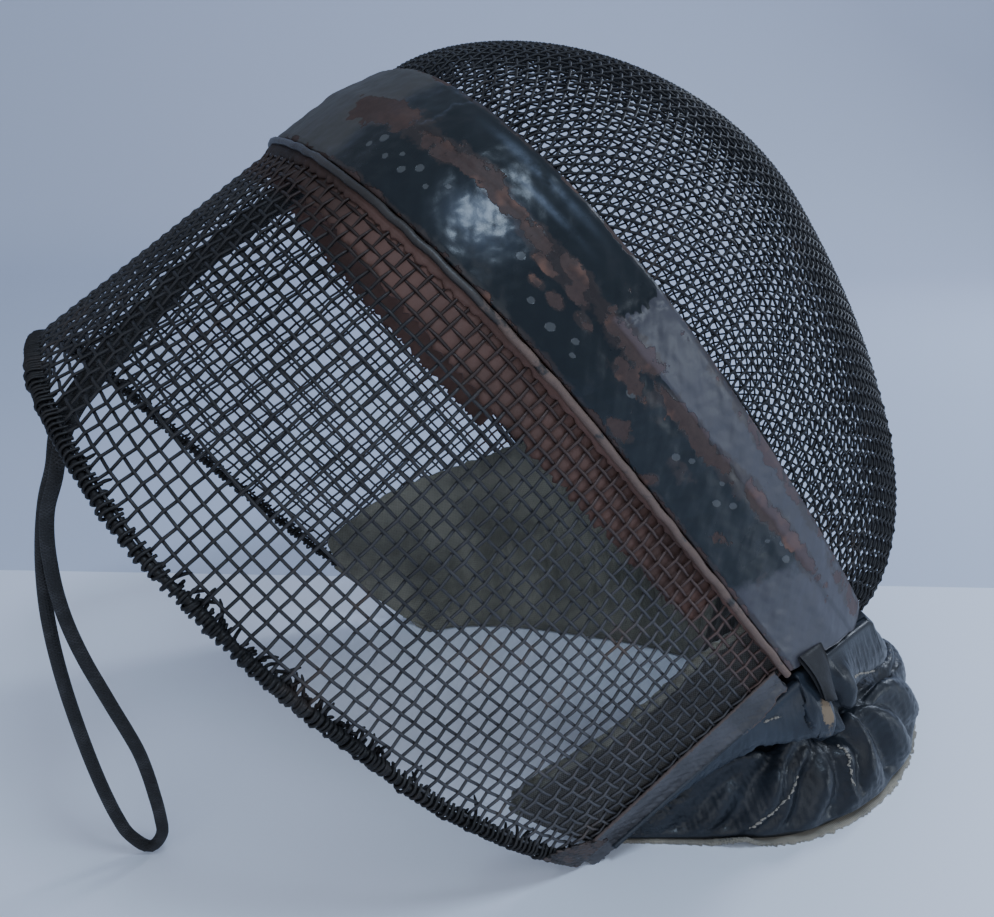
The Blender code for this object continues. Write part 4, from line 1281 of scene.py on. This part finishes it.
def wire_material(name, dark, light, rust, crown_painted_shade, jaw_painted_light):
    nodes = Nodes(name, 0.48, 0.45)
    patches = nodes.noise(38.0, 5.0, 0.65)
    colour = nodes.ramp(patches, (0.38, dark), (0.58, light), (0.74, rust))
    near_band = nodes.rise(nodes.attribute("deep"), 0.81, 0.87)
    colour = nodes.mix(nodes.times(near_band, 0.85), colour, (0.070, 0.043, 0.037))
    # Painted shade darkens the wires towards the crown and painted light brightens them towards both jaws.
    from_crown = nodes.far_from(nodes.attribute("lane"), SIDE_WIRES / 2)
    shade = nodes.rise(from_crown, 18.0, 42.0, crown_painted_shade, 1.0)
    shade = nodes.times(shade, nodes.rise(from_crown, 40.0, 54.0, 1.0, jaw_painted_light))
    colour = nodes.shade(colour, shade)
    nodes.feed("Base Color", colour)
    fine = nodes.noise(1800.0, 3.0)
    rough = nodes.rise(fine, 0.3, 0.7, 0.38, 0.66)
    nodes.feed("Roughness", rough)
    nodes.bump(fine, 0.4, 0.0002)
    return nodes.material


def enamel_material():
    """Black and slate enamel, chipped and rusted along the ridges and edges, with pale specks and painted
    highlights.
    """
    nodes = Nodes("enamel_worn", 0.25)
    worn, slate = nodes.attribute("worn"), nodes.attribute("slate")
    veins = nodes.far_from(nodes.noise(46.0, 4.0, 0.6), 0.5)
    veins = nodes.times(nodes.rise(veins, 0.07, 0.0), 0.42)
    worn = nodes.times(worn, nodes.math("ADD", veins, 0.92))
    rust = nodes.ragged(worn, 0.50, 0.60, 82.0, 330.0, 2.0)
    thin = nodes.ragged(worn, 0.28, 0.50, 95.0, 500.0, 1.2)
    clouds = nodes.noise(26.0, 5.0, 0.6)
    grain = nodes.noise(420.0, 4.0, 0.7)
    black = nodes.mix(clouds, (0.006, 0.009, 0.012), (0.015, 0.021, 0.027))
    dull = nodes.mix(clouds, (0.036, 0.037, 0.046), (0.076, 0.076, 0.094))
    # The slate mark gives the plate's own slate enamel and, at the band's ends, painted reflection of the
    # floor.
    enamel = nodes.mix(nodes.ragged(slate, 0.40, 0.60, 60.0, 300.0, 0.5), black, dull)
    enamel = nodes.mix(nodes.times(thin, 0.6), enamel, (0.042, 0.032, 0.031))
    speck = nodes.times_plus(grain, 0.30, nodes.attribute("speck"))
    speck = nodes.rise(speck, 0.60, 0.72)
    enamel = nodes.mix(nodes.times(speck, 0.7), enamel, (0.080, 0.086, 0.092))
    crown_grey = nodes.rise(nodes.times_plus(clouds, 0.05, nodes.attribute("arch")), 0.155, 0.120)
    enamel = nodes.mix(nodes.times(crown_grey, 0.8), enamel, (0.060, 0.057, 0.054))
    # Painted highlight: pale blue streaks where the lamp's reflection lies on the enamel, broken up by
    # noise.
    painted_highlight = nodes.times(nodes.attribute("painted_highlight"), nodes.rise(nodes.noise(90.0, 5.0), 0.3, 0.6))
    enamel = nodes.mix(painted_highlight, enamel, (0.130, 0.160, 0.215))
    iron = nodes.mix(grain, (0.026, 0.019, 0.019), (0.072, 0.045, 0.040))
    bright = nodes.rise(nodes.noise(62.0, 3.0), 0.52, 0.66)
    bright = nodes.times(bright, nodes.rise(nodes.attribute("arch"), 0.20, 0.36, 0.15, 1.0))
    iron = nodes.mix(bright, iron, (0.130, 0.068, 0.050))
    iron = nodes.mix(nodes.times(slate, 0.55), iron, (0.115, 0.090, 0.100))
    nodes.feed("Base Color", nodes.mix(rust, enamel, iron))
    gloss = nodes.rise(clouds, 0.3, 0.7, 0.24, 0.36)
    gloss = nodes.times_plus(slate, 0.10, gloss)
    crown = nodes.rise(nodes.attribute("arch"), 0.15, 0.08)
    gloss = nodes.times_plus(crown, 0.30, gloss)
    gloss = nodes.times_plus(rust, 0.34, gloss)
    nodes.feed("Roughness", gloss)
    nodes.inputs["Specular IOR Level"].default_value = 0.26
    dents = nodes.times(nodes.noise(75.0, 3.0), 0.36)
    height = nodes.times_plus(rust, -0.30, dents)
    height = nodes.times_plus(grain, nodes.times_plus(rust, 0.10, 0.035), height)
    height = nodes.times_plus(speck, -0.12, height)
    nodes.bump(height, 0.8, 0.0011)
    return nodes.material


def iron_material(name, base, rust_low, rust_high, threshold, metallic):
    """Bare dark sheet iron with rust where the piece is worn."""
    nodes = Nodes(name, 0.5, metallic)
    rust = nodes.ragged(nodes.attribute("worn"), threshold, threshold + 0.18, 120.0, 600.0)
    grain = nodes.noise(500.0, 4.0, 0.7)
    clouds = nodes.noise(45.0, 4.0)
    dark = tuple(value * 0.55 for value in base)
    plate = nodes.mix(nodes.rise(clouds, 0.3, 0.7), dark, base)
    nodes.feed("Base Color", nodes.mix(rust, plate, nodes.mix(grain, rust_low, rust_high)))
    nodes.feed("Roughness", nodes.times_plus(rust, 0.22, 0.45))
    nodes.feed("Metallic", nodes.times_plus(rust, -0.9 * metallic, metallic))
    nodes.bump(nodes.times_plus(grain, 0.5, clouds), 0.6, 0.0006)
    return nodes.material


def leather_material(name, low, high, rough, pore, crown_painted_shade, jaw_painted_light, crease, roll_painted_shade):
    """Leather with pores and creases, tan where it is torn."""
    nodes = Nodes(name, rough)
    nodes.inputs["Specular IOR Level"].default_value = 0.32
    clouds = nodes.noise(34.0, 5.0, 0.6)
    pores = nodes.put("ShaderNodeTexVoronoi", "Distance", {"Vector": nodes.coords, "Scale": pore})
    creases = nodes.noise(240.0, 6.0, 0.7)
    colour = nodes.mix(nodes.rise(clouds, 0.3, 0.7), low, high)
    # Painted shade darkens the brown leather near the crown and painted light brightens it towards the jaw.
    arch = nodes.attribute("arch")
    shade = nodes.rise(arch, 0.0001, 0.34, crown_painted_shade, 1.0)
    shade = nodes.times(shade, nodes.rise(arch, 0.42, 0.70, 1.0, jaw_painted_light))
    colour = nodes.shade(colour, shade)
    # Painted shade darkens the bib's roll and front, by the down mark.
    rolled = nodes.rise(nodes.attribute("down"), 0.35, 0.60, 1.0, roll_painted_shade)
    colour = nodes.shade(colour, rolled)
    torn = nodes.ragged(nodes.attribute("torn"), 0.46, 0.66, 260.0, 900.0, 1.3)
    colour = nodes.mix(torn, colour, (0.20, 0.15, 0.10))
    nodes.feed("Base Color", colour)
    gloss = nodes.rise(creases, 0.3, 0.7, rough - 0.06, rough + 0.10)
    nodes.feed("Roughness", nodes.times_plus(torn, 0.35, gloss))
    height = nodes.times_plus(pores, 0.14, nodes.times(creases, crease))
    height = nodes.times_plus(torn, 0.25, height)
    nodes.bump(height, 0.55, 0.0007)
    return nodes.material


THREAD_PITCH = 0.00085


def canvas_material(name, low, high, stain):
    """Plain woven cotton, its threads run across in X and down in Z, mottled and stained."""
    nodes = Nodes(name, 0.88)
    sockets = {"Vector": nodes.coords, "Scale": pi / (10 * THREAD_PITCH), "Distortion": 0.6,
               "Detail": 1.0, "Detail Scale": 0.3}
    heights = [nodes.put("ShaderNodeTexWave", "Fac", sockets, bands_direction=direction)
               for direction in ("X", "Z")]
    weave = nodes.math("MAXIMUM", *heights)
    clouds = nodes.noise(30.0, 6.0, 0.62)
    specks = nodes.noise(210.0, 5.0, 0.7)
    colour = nodes.mix(nodes.rise(clouds, 0.32, 0.68), low, high)
    marks = nodes.rise(specks, 0.58, 0.72)
    colour = nodes.mix(nodes.times(marks, 0.55), colour, stain)
    shaded = nodes.ragged(nodes.attribute("shaded"), 0.35, 0.65, 90.0, 400.0, 0.6)
    colour = nodes.mix(nodes.times(shaded, 0.88), colour, (0.026, 0.023, 0.024))
    shade = nodes.rise(weave, 0.1, 0.8, 0.66, 1.08)
    colour = nodes.shade(colour, shade)
    nodes.feed("Base Color", colour)
    nodes.inputs["Sheen Weight"].default_value = 0.25
    height = nodes.times_plus(clouds, 1.4, weave)
    nodes.bump(height, 0.6, 0.0005)
    return nodes.material


def thread_and_highlight_material():
    nodes = Nodes("thread_and_highlight", 0.85)
    grain = nodes.noise(700.0, 4.0, 0.7)
    nodes.feed("Base Color", nodes.mix(grain, (0.12, 0.11, 0.10), (0.36, 0.33, 0.28)))
    nodes.bump(grain, 0.6, 0.0003)
    return nodes.material


def elastic_material():
    """Black elastic in a close braided sleeve, a little dusty on its ridges."""
    nodes = Nodes("braided_elastic", 0.75)
    braid = []
    for turn in (0.62, -0.62):
        turned = nodes.put("ShaderNodeMapping", 0, {"Vector": nodes.coords, "Rotation": (0.0, turn, 0.0)})
        sockets = {"Vector": turned, "Scale": 330.0, "Distortion": 0.4}
        braid.append(nodes.put("ShaderNodeTexWave", "Fac", sockets, bands_direction="Z"))
    sleeve = nodes.math("MAXIMUM", *braid)
    dust = nodes.noise(120.0, 5.0)
    ridge = nodes.times(nodes.rise(sleeve, 0.6, 1.0), nodes.rise(dust, 0.45, 0.7))
    nodes.feed("Base Color", nodes.mix(ridge, (0.008, 0.008, 0.009), (0.040, 0.040, 0.044)))
    nodes.bump(sleeve, 0.8, 0.0004)
    return nodes.material


# Camera, light and surroundings.

PHOTO_WIDTH, PHOTO_HEIGHT = 994, 917
CAMERA_PLACE = (-0.1695, -0.3827, 0.2801)
CAMERA_AHEAD = (0.35692, 0.86655, -0.34885)
CAMERA_RIGHT = (0.92464, -0.38085, 0.0)
LENS, SENSOR = 38.25, 36.0
# The line behind the mask in the photograph, in pixels down its left and right edges. The floor
# ends there. The backdrop goes on flat, clear of the mask, and then curves up. The floor comes
# forwards from the line by its depth, and both sheets pass the picture's sides by the spare.
LINE_LEFT, LINE_RIGHT = 570.0, 588.0
FLOOR_DEPTH = 3.5
STAGE_SPARE = 2.5
BACKDROP_FLAT = 0.95
BACKDROP_BEND = 0.55
BACKDROP_TOP = 2.2
BACKDROP_STEPS = 16
FLOOR_COLOUR = (0.80, 0.855, 0.975, 1.0)
# The backdrop's colour is painted shade on its flat stretch, which the lamps light more, growing lighter up
# its curve, so that it reads as one wall.
BACKDROP_TONES = ((0.0, (0.54, 0.61, 0.76)), (0.25, (0.55, 0.62, 0.77)), (0.8, (0.68, 0.75, 0.92)))


def add(name, data):
    obj = bpy.data.objects.new(name, data)
    bpy.context.scene.collection.objects.link(obj)
    return obj


def build_camera():
    ahead = Vector(CAMERA_AHEAD).normalized()
    right = Vector(CAMERA_RIGHT).normalized()
    data = bpy.data.cameras.new("camera")
    data.lens = LENS
    data.sensor_width = SENSOR
    data.clip_start = 0.01
    camera = add("camera", data)
    turn = Matrix((right, right.cross(ahead), -ahead)).transposed().to_4x4()
    camera.matrix_world = Matrix.Translation(CAMERA_PLACE) @ turn
    bpy.context.scene.camera = camera
    return camera


def floor_hit(camera, x, y):
    """Where the ray through a pixel of the photograph meets the floor."""
    size = SENSOR / PHOTO_WIDTH
    ray = Vector(((x - PHOTO_WIDTH / 2) * size, (PHOTO_HEIGHT / 2 - y) * size, -LENS))
    ray = camera.matrix_world.to_3x3() @ ray
    origin = camera.matrix_world.translation
    return origin - ray * (origin.z / ray.z)


def stage_sheet(name, edge, back, profile, material):
    """A sheet through a profile of (away, height) points, as wide as the edge."""
    corners = [end + back * away + Vector((0.0, 0.0, height)) for away, height in profile for end in edge]
    faces = [(row, row + 1, row + 3, row + 2) for row in range(0, 2 * len(profile) - 2, 2)]
    mesh = bpy.data.meshes.new(name)
    mesh.from_pydata([tuple(corner) for corner in corners], [], faces)
    mesh.materials.append(material)
    return add(name, mesh)


def build_surroundings(camera):
    left = floor_hit(camera, 0.0, LINE_LEFT)
    right = floor_hit(camera, PHOTO_WIDTH, LINE_RIGHT)
    along = (right - left).normalized()
    back = Vector((-along.y, along.x, 0.0))
    edge = left - along * STAGE_SPARE, right + along * STAGE_SPARE
    floor = Nodes("floor", 0.45)
    floor.inputs["Base Color"].default_value = FLOOR_COLOUR
    wall = Nodes("wall", 0.8)
    wall.feed("Base Color", wall.ramp(wall.attribute("away"), *BACKDROP_TONES))
    depth = BACKDROP_FLAT + BACKDROP_BEND
    profile = [(0.0, 0.0), (BACKDROP_FLAT / 2, 0.0), (BACKDROP_FLAT, 0.0)]
    for step in range(1, BACKDROP_STEPS + 1):
        angle = pi / 2 * step / BACKDROP_STEPS
        profile.append((BACKDROP_FLAT + BACKDROP_BEND * sin(angle), BACKDROP_BEND * (1 - cos(angle))))
    profile.append((depth, BACKDROP_TOP))
    ground = stage_sheet("floor", edge, back, ((-FLOOR_DEPTH, 0.0), (0.0, 0.0)), floor.material)
    backdrop = stage_sheet("backdrop", edge, back, profile, wall.material)
    backdrop.data.shade_smooth()
    layer = backdrop.data.attributes.new("away", "FLOAT", "POINT")
    layer.data.foreach_set("value", [away / depth for away, _ in profile for _ in edge])


LIGHTS = table(
    ("name", "place", "target", "size", "power", "colour"),
    ("window", (1.15, 0.25, 0.80), (0.10, -0.05, 0.0), 0.30, 7.5, (0.74, 0.84, 1.0)),
    ("lamp", (0.04, -0.58, 1.21), (-0.05, -0.08, 0.2), 0.24, 6.2, (0.62, 0.79, 1.0)),
    ("side", (1.10, -0.80, 0.30), (0.05, -0.05, 0.12), 0.36, 3.4, (0.80, 0.90, 1.0)),
    ("fill", (-0.75, -1.25, 0.75), (0.0, 0.0, 0.1), 1.20, 5.5, (0.90, 0.94, 1.0)),
)
SKY_COLOUR = (0.72, 0.80, 0.95, 1.0)
SKY_STRENGTH = 0.47


def build_lights():
    world = bpy.data.worlds.new("studio")
    world.use_nodes = True
    sky = world.node_tree.nodes["Background"].inputs
    sky["Color"].default_value = SKY_COLOUR
    sky["Strength"].default_value = SKY_STRENGTH
    bpy.context.scene.world = world
    for row in LIGHTS:
        data = bpy.data.lights.new(row["name"], "AREA")
        data.energy = row["power"]
        data.size = row["size"]
        data.color = row["colour"]
        light = add(row["name"], data)
        light.location = row["place"]
        way = Vector(row["target"]) - Vector(row["place"])
        light.rotation_euler = way.to_track_quat("-Z", "Y").to_euler()


# Colours, darkest first, and how each surface is worn; painted shade darkens a colour near the crown
# and on the bib's roll, and painted light brightens it at the jaw.
WIRES = table(
    ("name", "dark", "light", "rust", "crown_painted_shade", "jaw_painted_light"),
    ("coarse_wire", (0.032, 0.032, 0.036), (0.062, 0.061, 0.066), (0.080, 0.056, 0.044), 0.45, 1.35),
    ("fine_wire", (0.012, 0.012, 0.014), (0.023, 0.023, 0.026), (0.040, 0.031, 0.027), 1.0, 1.0),
    ("wound_wire", (0.007, 0.007, 0.008), (0.018, 0.017, 0.018), (0.042, 0.029, 0.023), 1.0, 1.0),
)
IRONS = table(
    ("name", "base", "rust_low", "rust_high", "threshold", "metallic"),
    ("rolled_iron", (0.034, 0.030, 0.029), (0.080, 0.054, 0.045), (0.170, 0.112, 0.088), 0.42, 0.05),
    ("strip_iron", (0.092, 0.091, 0.099), (0.062, 0.049, 0.046), (0.112, 0.078, 0.068), 0.62, 0.35),
    ("corner_iron", (0.040, 0.033, 0.034), (0.045, 0.034, 0.033), (0.085, 0.060, 0.053), 0.45, 0.35),
)
LEATHERS = table(
    ("name", "low", "high", "rough", "pore", "crown_painted_shade", "jaw_painted_light", "crease", "roll_painted_shade"),
    ("leather_brown", (0.064, 0.036, 0.029), (0.112, 0.060, 0.048), 0.74, 900.0, 0.15, 1.05, 0.8, 1.0),
    ("leather_black", (0.016, 0.020, 0.028), (0.036, 0.045, 0.060), 0.37, 1500.0, 1.0, 1.0, 0.22, 0.50),
    ("leather_strap", (0.004, 0.004, 0.005), (0.010, 0.010, 0.012), 0.60, 1500.0, 1.0, 1.0, 0.5, 1.0),
)
CANVASES = table(
    ("name", "low", "high", "stain"),
    ("canvas_tan", (0.160, 0.148, 0.122), (0.300, 0.270, 0.215), (0.09, 0.08, 0.07)),
    ("canvas_grey", (0.085, 0.085, 0.071), (0.220, 0.213, 0.176), (0.060, 0.056, 0.046)),
)


def main():
    build_surroundings(build_camera())
    build_lights()
    coarse, fine, wound = (wire_material(**row) for row in WIRES)
    rolled, strip, corner = (iron_material(**row) for row in IRONS)
    brown, black, strap = (leather_material(**row) for row in LEATHERS)
    tan, grey = (canvas_material(**row) for row in CANVASES)
    build_side_weave(coarse)
    build_face_weave(fine)
    build_rim(wound)
    build_cord(elastic_material())
    build_band(enamel_material())
    build_bead(rolled)
    build_lining_strip(brown)
    build_lining_turn(brown)
    build_jaw_strips(strip)
    build_bib(black)
    build_seams(thread_and_highlight_material())
    build_strap(strap)
    build_corner(corner)
    build_backing(tan)
    build_lining(grey)
    build_tab(black)


main()
